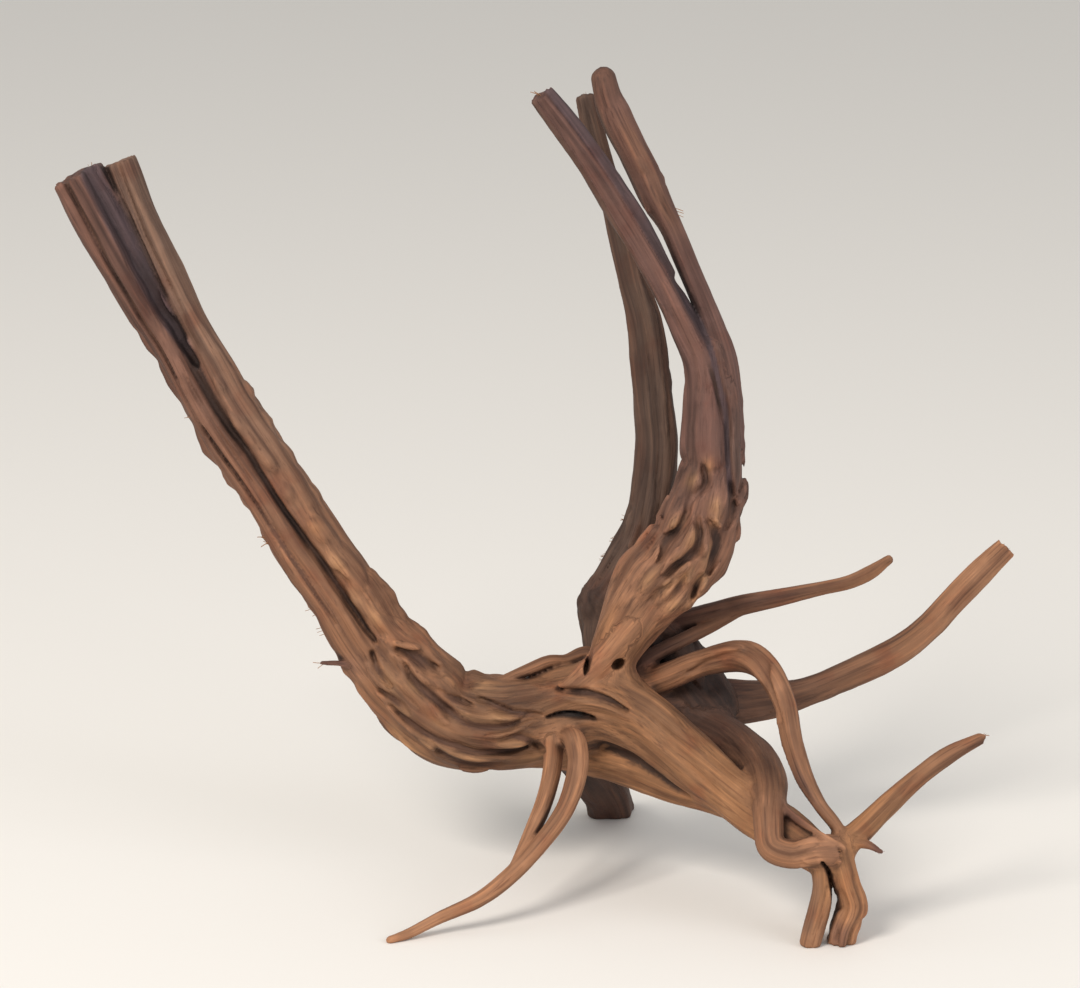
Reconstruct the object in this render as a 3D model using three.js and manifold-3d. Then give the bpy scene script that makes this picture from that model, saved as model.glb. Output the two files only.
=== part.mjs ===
// A spiderwood root: the dried, washed root crown of a shrub, grown as one piece.
// Millimetres, +Z up, -Y is the front. The origin lies on the ground under the middle of the box.
import * as THREE from "three";
import { mergeVertices } from "three/addons/utils/BufferGeometryUtils.js";
import Module from "manifold-3d";

const wasm = await Module();
wasm.setup();

// Driving dimensions.
const MIDDLE = new THREE.Vector3(2.56, 0.24, 0); // middle of the box, in the coordinates of the stations
const GROUND = 0; // roots are cut flat where they stand
const CUT_BLOCK = 600; // side of the block that cuts them
const GRAIN_WAVE = 46; // length of one slow swell along a limb
const GRAIN_SWELL = 0.045; // its height, as a share of the radius
const KNOT_SINK = 0.8; // share of a knot's height that stands inside the limb
const HOLLOW_DETAIL = 1; // splits of each face of the ball that cuts a hollow
const WOOD = { color: 0x94694f, roughness: 0.85, metalness: 0 };

// A limb is swept along stations [x, y, z, radius]. depth is its thickness from front to back
// against its width. ridges are [number round it, height as a share of the radius, turns along it].
// A groove is [from, to, angle, half width in degrees, depth as a share of the radius], and a
// knot is [place, angle, height, width, length], where places are shares of the limb's length and
// angles are degrees from the front, 90 towards the right of a limb whose stations climb.
const LIMBS = {
  leftLimbFront: {
    stations: [
      [-33, -1, 54, 11],
      [-50, -2, 67, 8.5],
      [-63, -3, 83, 6.5],
      [-73, -3, 100, 6],
      [-86, -2, 119, 6],
      [-95, -1, 135, 5.5],
      [-107, 0, 153, 6],
      [-117, 1, 170, 5.5],
      [-126, 2, 189, 5.5],
      [-135, 2, 205, 7],
      [-145, 2, 224, 7.5],
      [-152, 2, 238, 8],
      [-157, 2, 247, 7.5],
    ],
    sides: 14,
    step: 10,
    depth: 1.1,
    ragged: 2,
    ridges: [4, 0.07, 0.35],
    grooves: [[0.62, 1, 65, 24, 0.45]],
    knots: [
      [0.73, -95, 1.8, 5, 9],
      [0.67, -95, 1.5, 5, 12],
      [0.56, -95, 2.5, 5, 12],
      [0.5, -80, 1.5, 4, 7],
      [0.46, -80, 1.5, 4, 6],
      [0.4, -90, 1.2, 4, 5],
      [0.28, -85, 1.2, 5, 9],
      [0.17, -85, 1.8, 6, 9],
    ],
  },
  leftLimbBack: {
    stations: [
      [-37, 0, 67, 11],
      [-43, 0, 78, 8.5],
      [-53, 0, 90, 7],
      [-61, 1, 103, 6.5],
      [-72, 2, 118, 6.5],
      [-93, 4, 152, 6.5],
      [-104, 5, 169, 6.5],
      [-112, 6, 184, 6],
      [-119, 7, 197, 5.5],
      [-131, 8, 223, 5.5],
      [-137, 9, 238, 5],
      [-142, 10, 251, 5],
    ],
    sides: 14,
    step: 10,
    depth: 1.3,
    ragged: 1.5,
    ridges: [5, 0.06, 0.3],
    grooves: [],
    knots: [
      [0.58, 95, 1.8, 5, 7],
      [0.52, 95, 1.8, 5, 8],
      [0.46, 90, 1.8, 5, 8],
      [0.38, 90, 1.5, 4, 6],
      [0.18, 90, 1.8, 5, 8],
      [0.09, 95, 1.8, 6, 9],
      [0.61, -5, 1.2, 4, 6],
      [0.55, -25, 1.5, 4, 7],
      [0.47, -5, 1.8, 5, 8],
      [0.41, -10, 1.5, 5, 7],
      [0.32, 15, 2.5, 8, 12],
      [0.23, -5, 2, 5, 8],
    ],
  },
  leftWeb: {
    stations: [
      [-117, 5, 180, 3],
      [-123.5, 5.5, 193.7, 3.6],
      [-134.5, 6, 214, 4.2],
      [-146, 6, 238, 4.4],
      [-151.5, 6, 249, 4],
    ],
    sides: 6,
    step: 17,
    depth: 1,
    ragged: 0.5,
    ridges: [3, 0.05, 0.2],
    grooves: [],
    knots: [],
  },
  trunk: {
    stations: [
      [-59, 0, 87, 5],
      [-54, 0, 81, 10.5],
      [-44, 0, 68, 15.5],
      [-31, 0, 58, 16.5],
      [-14, 0, 55, 17.5],
      [3, 0, 57, 16],
      [21, -4, 63, 13.5],
      [35, -10, 59, 11.5],
      [48, -20, 51, 10],
      [61, -33, 44, 9],
      [73, -46, 38, 9],
      [85, -57, 33, 7.5],
      [95, -65, 28, 6],
    ],
    sides: 20,
    step: 7,
    depth: 0.85,
    ragged: 0,
    ridges: [6, 0.06, 0.5],
    grooves: [],
    knots: [
      [0.07, 0, 2, 8, 16],
      [0.12, -30, 2, 9, 14],
      [0.12, 30, 2.5, 8, 18],
      [0.17, -10, 2.5, 8, 20],
      [0.22, 40, 2.5, 9, 18],
      [0.29, 35, 2.2, 8, 16],
    ],
  },
  lowerRoot: {
    stations: [
      [2, 4, 45, 7],
      [18, 2, 43, 8],
      [34, -7, 41, 7],
      [48, -18, 38, 6],
      [62, -29, 36, 5],
    ],
    sides: 10,
    step: 6,
    depth: 1,
    ragged: 0,
    ridges: [3, 0.06, 0.3],
    grooves: [],
    knots: [],
  },
  backStump: {
    stations: [
      [7, 14, 50, 10.5],
      [17, 36, 29, 9.5],
      [24, 56, 12, 9],
      [27, 70, -4, 8],
    ],
    sides: 12,
    step: 7,
    depth: 0.9,
    ragged: 0,
    ridges: [4, 0.08, 0.2],
    grooves: [],
    knots: [],
  },
  uprightBase: {
    stations: [
      [23, -2, 66, 8.5],
      [25, -1, 79, 8.5],
      [31, 0, 92, 10.5],
      [40, 1, 105, 14],
      [51, 2, 118, 15],
      [56, 3, 131, 13],
      [59, 4, 146, 10.5],
      [59, 5, 159, 9.5],
      [59, 5, 171, 9],
      [57, 5, 185, 7],
    ],
    sides: 16,
    step: 6.5,
    depth: 0.9,
    ragged: 0,
    ridges: [5, 0.06, 0.4],
    grooves: [],
    knots: [
      [0.94, 95, 2, 5, 6],
      [0.88, 90, 1.8, 5, 8],
      [0.81, 90, 1.8, 5, 7],
      [0.64, 90, 2.2, 6, 9],
      [0.53, 90, 2.2, 7, 8],
      [0.47, 85, 2, 7, 8],
      [0.81, -45, 1.5, 4, 5],
      [0.72, -15, 2, 5, 8],
      [0.67, -20, 2, 6, 8],
      [0.56, 25, 2, 6, 10],
      [0.54, -15, 2.5, 6, 12],
      [0.49, 20, 2.5, 7, 9],
      [0.44, 45, 2.5, 7, 10],
      [0.43, 0, 2.2, 6, 10],
      [0.46, -25, 2, 6, 11],
      [0.36, 5, 2.2, 6, 12],
    ],
  },
  uprightLeg: {
    stations: [
      [32, -4, 92, 6],
      [22, -7, 81, 5],
      [15, -9, 75, 4],
      [9, -9, 70, 2.5],
    ],
    sides: 8,
    step: 6,
    depth: 1,
    ragged: 0,
    ridges: [3, 0.06, 0.2],
    grooves: [],
    knots: [],
  },
  uprightLeft: {
    stations: [
      [56, 3, 156, 7],
      [56, 4, 169, 6.5],
      [55, 4, 183, 6],
      [50, 3, 194, 5.5],
      [40, 0, 215, 5.5],
      [27, -3, 237, 5.5],
      [17, -5, 253, 5],
      [7, -7, 267, 4.5],
      [0, -8, 276, 4],
    ],
    sides: 12,
    step: 8,
    depth: 0.9,
    ragged: 2,
    ridges: [4, 0.07, 0.3],
    grooves: [],
    knots: [],
  },
  uprightRight: {
    stations: [
      [66, 4, 155, 3.5],
      [65, 5, 169, 4],
      [62, 5, 185, 4.5],
      [57, 7, 199, 4],
      [48, 9, 220, 4],
      [44, 10, 229, 4],
      [39, 11, 238, 5],
      [35, 12, 247, 5.5],
      [25, 13, 267, 5.3],
      [23, 13, 272, 4.4],
      [21.5, 13.5, 278, 4.1],
      [20.8, 13.7, 281.5, 2.2],
    ],
    sides: 10,
    step: 8,
    depth: 1,
    ragged: 0.5,
    ridges: [4, 0.05, 0.3],
    grooves: [],
    knots: [
      [0.76, 5, 1.2, 4, 6],
      [0.71, 95, 1.2, 3, 4],
    ],
  },
  backUpright: {
    stations: [
      [23, 16, 66, 5],
      [21, 20, 79, 6.5],
      [24, 24, 93, 7.5],
      [30, 25, 104, 8],
      [37, 25, 118, 8],
      [41, 25, 147, 7.5],
      [40, 25, 161, 7.5],
      [36, 25, 193, 6],
      [32, 25, 207, 5],
      [28, 26, 224, 4.5],
      [23, 26, 242, 4],
      [18, 26, 259, 4],
      [15, 26, 271, 3],
    ],
    sides: 12,
    step: 9,
    depth: 0.7,
    ragged: 2,
    ridges: [3, 0.08, 0.2],
    grooves: [],
    knots: [[0.52, 85, 1.2, 4, 6]],
  },
  backCollar: {
    stations: [
      [21, 24, 91, 6.5],
      [25, 24, 86, 9],
      [34, 24, 80, 11.5],
      [43, 22, 73, 12.5],
      [52, 16, 65, 12.5],
      [58, 12, 58, 10],
    ],
    sides: 12,
    step: 8,
    depth: 0.9,
    ragged: 0,
    ridges: [4, 0.07, 0.2],
    grooves: [],
    knots: [],
  },
  rightRoot: {
    stations: [
      [35, 10, 58, 10.5],
      [56, 16, 57, 9],
      [76, 20, 57, 7],
      [92, 23, 59, 5.5],
      [110, 27, 65, 5],
      [128, 31, 73, 5],
      [139, 34, 81, 5],
      [148, 37, 90, 4.5],
      [158, 39, 100, 4.5],
      [166, 42, 107, 4],
    ],
    sides: 10,
    step: 8,
    depth: 1,
    ragged: 0.5,
    ridges: [3, 0.06, 0.4],
    grooves: [],
    knots: [],
  },
  upperTwig: {
    stations: [
      [42, 22, 84, 4],
      [58, 17, 89, 4.5],
      [70, 13, 94, 3.5],
      [83, 9, 98, 3],
      [97, 6, 102, 2.5],
      [107, 4, 105, 2.5],
      [114, 2, 109, 2.5],
      [120, 0, 114, 1.5],
    ],
    sides: 8,
    step: 7,
    depth: 1,
    ragged: 0,
    ridges: [3, 0.06, 0.3],
    grooves: [],
    knots: [],
  },
  upperTwigStrand: {
    stations: [
      [31, 8, 70, 3],
      [38, 9, 76, 3],
      [49, 10, 82, 2.5],
      [58, 12, 86, 2.5],
      [74, 12, 94, 1],
    ],
    sides: 6,
    step: 8,
    depth: 1,
    ragged: 0,
    ridges: [3, 0.06, 0.3],
    grooves: [],
    knots: [],
  },
  arch: {
    stations: [
      [32, 8, 65, 5],
      [45, 4, 71, 5],
      [57, -2, 78, 4.5],
      [70, -12, 83, 5.5],
      [78, -23, 80, 5],
      [83, -33, 72, 4.5],
      [85, -43, 62, 4],
      [88, -51, 53, 3.5],
      [93, -57, 45, 2.5],
      [99, -62, 38, 2.5],
      [102, -65, 32, 1.5],
    ],
    sides: 10,
    step: 6,
    depth: 0.9,
    ragged: 0,
    ridges: [3, 0.07, 0.6],
    grooves: [],
    knots: [],
  },
  loopRoot: {
    stations: [
      [54, 8, 52, 9],
      [67, -6, 49, 8.5],
      [75, -27, 47, 7.5],
      [77, -49, 44, 6],
      [76, -62, 39, 5],
      [77, -66, 33, 4.5],
      [84, -68, 31, 4.5],
      [91, -70, 33, 4.5],
      [99, -69, 33, 5],
    ],
    sides: 10,
    step: 5.5,
    depth: 1,
    ragged: 1,
    ridges: [3, 0.06, 0.3],
    grooves: [],
    knots: [
      [0.45, -15, 1.5, 5, 7],
      [0.59, -20, 1.5, 5, 6],
    ],
  },
  lowerTwig: {
    stations: [
      [99, -62, 31, 4.5],
      [106, -61, 36, 4.5],
      [115, -58, 44, 4],
      [126, -54, 53, 3],
      [137, -50, 60, 3],
      [149, -46, 65, 2],
    ],
    sides: 8,
    step: 7,
    depth: 1,
    ragged: 1.5,
    ridges: [3, 0.06, 0.3],
    grooves: [],
    knots: [],
  },
  footLeft: {
    stations: [
      [94, -66, 30, 4],
      [94, -68, 20, 3.5],
      [92, -69, 12, 3],
      [90, -70, 3, 2.5],
      [89, -70, -3, 2.5],
    ],
    sides: 8,
    step: 5,
    depth: 1.2,
    ragged: 0,
    ridges: [3, 0.06, 0.2],
    grooves: [],
    knots: [],
  },
  footRight: {
    stations: [
      [99, -66, 32, 4.5],
      [102, -67, 21, 4.5],
      [104, -67, 13, 5],
      [101, -68, 5, 4.5],
      [100, -68, -3, 4.5],
    ],
    sides: 9,
    step: 5,
    depth: 1.1,
    ragged: 0,
    ridges: [3, 0.08, 0.2],
    grooves: [],
    knots: [],
  },
  frontRoot: {
    stations: [
      [9, -12, 54.5, 3],
      [12, -22, 55.3, 4],
      [13, -29, 49.5, 3.5],
      [9, -36, 37, 3],
      [1, -43, 27, 3],
      [-9, -50, 18, 3],
      [-20, -56, 11, 2.5],
      [-34, -61, 6, 2],
      [-44, -65, 2, 1.8],
      [-50, -68, 0.8, 1.4],
    ],
    sides: 8,
    step: 6,
    depth: 1,
    ragged: 0,
    ridges: [3, 0.05, 0.3],
    grooves: [],
    knots: [],
  },
  frontRootInner: {
    stations: [
      [5, -12, 52.5, 3.5],
      [4, -22, 44.5, 3.5],
      [1, -32, 36, 3],
      [-4, -41, 27, 2.5],
      [-10, -50, 18, 1.5],
    ],
    sides: 6,
    step: 6,
    depth: 1,
    ragged: 0,
    ridges: [3, 0.05, 0.3],
    grooves: [],
    knots: [],
  },
  topRunner: {
    stations: [
      [-14, -2, 71, 1.5],
      [-3, 0, 75, 2.4],
      [3, 2, 76.8, 2.5],
      [9, 4, 76.3, 2.4],
      [16, 6, 78, 3.2],
      [22, 4, 76, 3],
    ],
    sides: 6,
    step: 6,
    depth: 1,
    ragged: 0,
    ridges: [3, 0.05, 0.2],
    grooves: [],
    knots: [],
  },
  sideTwig: {
    stations: [
      [-57, -3, 74, 2.5],
      [-67, -8, 79, 1.2],
      [-75, -10, 80, 0.7],
    ],
    sides: 6,
    step: 6,
    depth: 1,
    ragged: 0,
    ridges: [3, 0.05, 0.2],
    grooves: [],
    knots: [],
  },
};

// Hollows are [x, y, z, half length, half depth, half height, tilt in degrees about the depth].
const HOLLOWS = [
  [10, -15, 61.9, 9, 4, 1.5, 0],
  [26.5, -8, 79.5, 2.6, 4, 2.2, 20],
];

const FRONT = new THREE.Vector3(0, -1, 0);
const UP = new THREE.Vector3(0, 0, 1);
const TURN = 2 * Math.PI;

// The middle line of a limb, with a frame that turns as little as it can from station to station.
function middleLine(stations, rings) {
  const points = stations.map(([x, y, z]) => new THREE.Vector3(x, y, z).sub(MIDDLE));
  const curve = new THREE.CatmullRomCurve3(points, false, "centripetal");
  const line = [];
  let front = null;
  for (let i = 0; i <= rings; i += 1) {
    const t = curve.getUtoTmapping(i / rings);
    const along = curve.getTangent(t).normalize();
    if (!front) front = Math.abs(along.y) < 0.9 ? FRONT.clone() : UP.clone();
    front = front.clone().addScaledVector(along, -front.dot(along)).normalize();
    const place = t * (stations.length - 1);
    const low = Math.min(Math.floor(place), stations.length - 2);
    const radius = THREE.MathUtils.lerp(stations[low][3], stations[low + 1][3], place - low);
    line.push({
      at: curve.getPoint(t),
      along,
      front,
      side: along.clone().cross(front),
      radius,
    });
  }
  return { line, length: curve.getLength() };
}

// How far the wood reaches at a share of the length and an angle, against the mean radius.
function reach(limb, share, angle, length) {
  const [count, height, turns] = limb.ridges;
  let out = 1 + height * Math.cos(count * (angle - TURN * turns * share));
  out += GRAIN_SWELL * Math.sin((TURN * share * length) / GRAIN_WAVE + 2 * angle);
  for (const [from, to, at, halfWidth, depth] of limb.grooves) {
    if (share < from || share > to) continue;
    const away = THREE.MathUtils.euclideanModulo(angle - (at * TURN) / 360 + TURN / 2, TURN);
    const across = (away - TURN / 2) / ((halfWidth * TURN) / 360);
    out -= depth * Math.exp(-across * across) * Math.min(1, (share - from) / 0.1);
  }
  return out;
}

// A closed cylinder bent along the limb's middle line.
function limbGeometry(limb) {
  const points = limb.stations.map(([x, y, z]) => new THREE.Vector3(x, y, z));
  const rough = new THREE.CatmullRomCurve3(points, false, "centripetal").getLength();
  const rings = Math.max(3, Math.round(rough / limb.step));
  const { line, length } = middleLine(limb.stations, rings);
  const cylinder = new THREE.CylinderGeometry(1, 1, 1, limb.sides, rings);
  cylinder.deleteAttribute("normal");
  cylinder.deleteAttribute("uv");
  const geometry = mergeVertices(cylinder, 1e-5);
  const position = geometry.getAttribute("position");
  for (let i = 0; i < position.count; i += 1) {
    const share = position.getY(i) + 0.5;
    const angle = Math.atan2(position.getX(i), position.getZ(i));
    const out = Math.hypot(position.getX(i), position.getZ(i));
    const ring = line[Math.round(share * rings)];
    const radius = ring.radius * out * reach(limb, share, angle, length);
    const tear = share > 0.999 ? limb.ragged * Math.sin(5 * angle + 1) * out : 0;
    const point = ring.at
      .clone()
      .addScaledVector(ring.side, radius * Math.sin(angle))
      .addScaledVector(ring.front, radius * limb.depth * Math.cos(angle))
      .addScaledVector(ring.along, tear);
    position.setXYZ(i, point.x, point.y, point.z);
  }
  return geometry;
}

// A bud scar that stands on the limb's surface.
function knotGeometry(limb, [place, angle, height, width, length]) {
  const { line } = middleLine(limb.stations, 100);
  const ring = line[Math.round(place * 100)];
  const turn = (angle * TURN) / 360;
  const out = ring.side
    .clone()
    .multiplyScalar(Math.sin(turn))
    .addScaledVector(ring.front, limb.depth * Math.cos(turn));
  const at = ring.at.clone().addScaledVector(out, ring.radius - KNOT_SINK * height);
  const outward = out.clone().normalize();
  const across = ring.along.clone().cross(outward).normalize();
  const basis = new THREE.Matrix4().makeBasis(
    across.clone().multiplyScalar(width / 2),
    outward.clone().cross(across).multiplyScalar(length / 2),
    outward.clone().multiplyScalar(height * (1 + KNOT_SINK)),
  );
  const bud = new THREE.IcosahedronGeometry(1, 0);
  bud.deleteAttribute("normal");
  bud.deleteAttribute("uv");
  const geometry = mergeVertices(bud, 1e-5);
  return geometry.applyMatrix4(basis.setPosition(at));
}

// A lens-shaped split or hole where two strands part.
function hollowGeometry([x, y, z, halfLength, halfDepth, halfHeight, tilt]) {
  const ball = new THREE.IcosahedronGeometry(1, HOLLOW_DETAIL);
  ball.deleteAttribute("normal");
  ball.deleteAttribute("uv");
  const geometry = mergeVertices(ball, 1e-5);
  geometry.scale(halfLength, halfDepth, halfHeight);
  geometry.rotateY((tilt * TURN) / 360);
  return geometry.translate(x - MIDDLE.x, y - MIDDLE.y, z - MIDDLE.z);
}

function solid(geometry) {
  const vertProperties = new Float32Array(geometry.getAttribute("position").array);
  const triVerts = new Uint32Array(geometry.index.array);
  return new wasm.Manifold(new wasm.Mesh({ numProp: 3, vertProperties, triVerts }));
}

function grownTogether() {
  let wood = null;
  for (const limb of Object.values(LIMBS)) {
    const pieces = [limbGeometry(limb), ...limb.knots.map((knot) => knotGeometry(limb, knot))];
    for (const piece of pieces) wood = wood ? wood.add(solid(piece)) : solid(piece);
  }
  for (const hollow of HOLLOWS) wood = wood.subtract(solid(hollowGeometry(hollow)));
  const block = new THREE.BoxGeometry(CUT_BLOCK, CUT_BLOCK, CUT_BLOCK);
  block.deleteAttribute("normal");
  block.deleteAttribute("uv");
  block.translate(0, 0, GROUND - CUT_BLOCK / 2);
  return wood.subtract(solid(mergeVertices(block, 1e-5)));
}

function geometryOf(body) {
  const mesh = body.getMesh();
  const count = mesh.vertProperties.length / mesh.numProp;
  const positions = new Float32Array(count * 3);
  for (let i = 0; i < count; i += 1) {
    const start = i * mesh.numProp;
    positions.set(mesh.vertProperties.subarray(start, start + 3), i * 3);
  }
  const geometry = new THREE.BufferGeometry();
  geometry.setAttribute("position", new THREE.BufferAttribute(positions, 3));
  geometry.setIndex(new THREE.BufferAttribute(new Uint32Array(mesh.triVerts), 1));
  geometry.computeVertexNormals();
  return geometry;
}

const root = new THREE.Mesh(geometryOf(grownTogether()), new THREE.MeshStandardMaterial(WOOD));
root.name = "spiderwood_root";

const group = new THREE.Group();
group.add(root);

export default group;
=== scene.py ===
# %% [markdown]
# # A spiderwood root
# Spiderwood is the root crown of a shrub, dug up, peeled, washed and dried. It is one grown
# body: a long split limb, a lumpy crown, tall uprights and thin curling roots that it stands on.
# The wood has no flat face anywhere, so it isn't modelled face by face here. Each limb is a
# formula for how far a point lies from its skin, all limbs melt into one field of distances, and
# the skin is read out of that field as a mesh. Grain, scars, cracks and fibres are terms of the
# formula, so they run over the joins as they do on the real root.

# %% Load the frame
import math

import bpy
import numpy as np
import openvdb
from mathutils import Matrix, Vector


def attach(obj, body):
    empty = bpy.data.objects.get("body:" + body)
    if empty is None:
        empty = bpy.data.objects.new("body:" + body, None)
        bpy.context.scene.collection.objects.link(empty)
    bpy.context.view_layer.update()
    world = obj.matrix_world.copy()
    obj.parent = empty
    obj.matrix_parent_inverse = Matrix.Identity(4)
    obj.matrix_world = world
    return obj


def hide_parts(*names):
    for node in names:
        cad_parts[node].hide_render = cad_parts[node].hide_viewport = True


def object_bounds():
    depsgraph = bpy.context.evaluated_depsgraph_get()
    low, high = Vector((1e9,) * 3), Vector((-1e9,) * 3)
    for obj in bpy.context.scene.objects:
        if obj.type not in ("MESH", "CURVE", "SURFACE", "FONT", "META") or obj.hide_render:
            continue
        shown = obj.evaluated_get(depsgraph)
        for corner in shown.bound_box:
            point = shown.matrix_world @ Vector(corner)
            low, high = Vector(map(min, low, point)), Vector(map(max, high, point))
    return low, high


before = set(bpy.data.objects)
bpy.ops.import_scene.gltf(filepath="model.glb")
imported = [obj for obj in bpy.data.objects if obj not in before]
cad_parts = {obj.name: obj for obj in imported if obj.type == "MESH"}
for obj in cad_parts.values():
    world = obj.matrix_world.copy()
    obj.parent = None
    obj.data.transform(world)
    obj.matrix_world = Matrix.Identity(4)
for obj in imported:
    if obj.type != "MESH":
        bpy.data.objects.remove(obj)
cad_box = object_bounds()
print("frame box, m:", [tuple(round(v, 4) for v in corner) for corner in cad_box])

# %% [markdown]
# ## Camera, floor and light
# A long lens from a little above the root, as such pieces are photographed for sale: 1.23 m in
# front of it, tipped down by 14 degrees. The floor is a plain pale sheet that fills the picture, and
# the light is one large soft panel from the upper left with a weaker one on the right.

# %% Camera
MM = 0.001
CAMERA_AT = Vector((-2.56, -1230.24, 444.0)) * MM
CAMERA_DOWN = math.radians(14)
SENSOR = 36.0
FOCAL_PIXELS = 3700
WIDTH_PIXELS = 1080
LENS = SENSOR * FOCAL_PIXELS / WIDTH_PIXELS

camera = bpy.data.objects.new("camera", bpy.data.cameras.new("camera"))
camera.data.sensor_width = SENSOR
camera.data.lens = LENS
camera.location = CAMERA_AT
camera.rotation_euler = (math.radians(90) - CAMERA_DOWN, 0, 0)
bpy.context.scene.collection.objects.link(camera)
bpy.context.scene.camera = camera
print("camera", [round(v, 3) for v in camera.location], "lens", round(LENS, 1))

# %% Helpers for colours and nodes
def linear(code):
    """An sRGB hex colour as the linear red, green, blue and alpha that a shader wants."""
    parts = [int(code[i : i + 2], 16) / 255 for i in (1, 3, 5)]
    return [c / 12.92 if c <= 0.04045 else ((c + 0.055) / 1.055) ** 2.4 for c in parts] + [1.0]


def add(tree, kind, links=None, **settings):
    """Adds a node. settings are its own properties, and links gives each input a value or an output."""
    made = tree.nodes.new(kind)
    for name, value in settings.items():
        setattr(made, name, value)
    for name, value in (links or {}).items():
        socket = made.inputs[name]
        if isinstance(value, bpy.types.NodeSocket):
            tree.links.new(value, socket)
        else:
            socket.default_value = value
    return made


def new_material(name):
    """A material with an empty tree."""
    material = bpy.data.materials.new(name)
    material.use_nodes = True
    material.node_tree.nodes.clear()
    return material


def plain_material(name, code, roughness, shine):
    """A material of one colour."""
    material = new_material(name)
    skin = add(material.node_tree, "ShaderNodeBsdfPrincipled",
               {"Base Color": linear(code), "Roughness": roughness, "Specular IOR Level": shine})
    add(material.node_tree, "ShaderNodeOutputMaterial", {"Surface": skin.outputs["BSDF"]})
    return material


def new_mesh_object(name, points, faces):
    """A mesh object at the origin, in metres, from arrays of points and of faces with equal corners."""
    mesh = bpy.data.meshes.new(name)
    corners = faces.shape[1]
    mesh.vertices.add(len(points))
    mesh.vertices.foreach_set("co", np.ascontiguousarray(points, np.float32).ravel())
    mesh.loops.add(faces.size)
    mesh.loops.foreach_set("vertex_index", np.ascontiguousarray(faces, np.int32).ravel())
    mesh.polygons.add(len(faces))
    mesh.polygons.foreach_set("loop_start", np.arange(0, faces.size, corners, dtype=np.int32))
    mesh.update(calc_edges=True)
    made = bpy.data.objects.new(name, mesh)
    bpy.context.scene.collection.objects.link(made)
    return made


# %% Floor: matt paper
FLOOR_HALF = 6.0

floor_points = np.array([(-1, -1, 0), (1, -1, 0), (1, 1, 0), (-1, 1, 0)]) * FLOOR_HALF
floor = new_mesh_object("floor", floor_points, np.array([(0, 1, 2, 3)]))
floor.data.materials.append(plain_material("matt_paper", "#EDEAE5", 0.9, 0.2))
print("floor, m:", 2 * FLOOR_HALF)

# %% Light
LIGHT_TARGET = Vector((0, 0, 0.1))
ROOM_GLOW = 0.66


def soft_panel(name, place, size, watts, colour):
    """One square area light that looks at the root."""
    data = bpy.data.lights.new(name, "AREA")
    data.size = size
    data.energy = watts
    data.color = linear(colour)[:3]
    panel = bpy.data.objects.new(name, data)
    panel.location = place
    panel.rotation_euler = (LIGHT_TARGET - Vector(place)).to_track_quat("-Z", "Y").to_euler()
    bpy.context.scene.collection.objects.link(panel)


soft_panel("key_light", (-1.0, -1.5, 1.7), 0.8, 40, "#FFF8F0")
soft_panel("fill_light", (1.6, -1.2, 0.9), 1.2, 13, "#F4F8FF")
world = bpy.data.worlds.new("pale_room")
world.use_nodes = True
glow = world.node_tree.nodes["Background"]
glow.inputs["Color"].default_value = linear("#F3F2F0")
glow.inputs["Strength"].default_value = ROOM_GLOW
bpy.context.scene.world = world
bpy.context.scene.view_settings.view_transform = "Standard"

# %% [markdown]
# ## The limbs
# Each limb is a line of stations (x, y, z and radius in millimetres) from where it grows to its
# tip. It repeats the line that the frame was built on, and adds what the eye reads from a step
# away: ridges that wind along it, splits where the wood dried, and bud scars where rootlets
# fell off. Places along a limb are shares of its length, and angles go round it in degrees from
# its front. The lists of a limb hold:
# - ridges: how many, how high as a share of the radius, and turns along the limb
# - melt: how softly it joins others, at its base, further up, and over what length
# - end: round or broken, and how jagged
# - furrows: from, to, rise, width, length
# - splits: from, to, angle, half width, depth, how much they wander
# - stains: from, to, angle, half width in degrees, tone, strength
# - buds and lobes: place, angle, rise, width, length

# %% Stations of the limbs, mm
MIDDLE = np.array([2.56, 0.24, 0.0])

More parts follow.
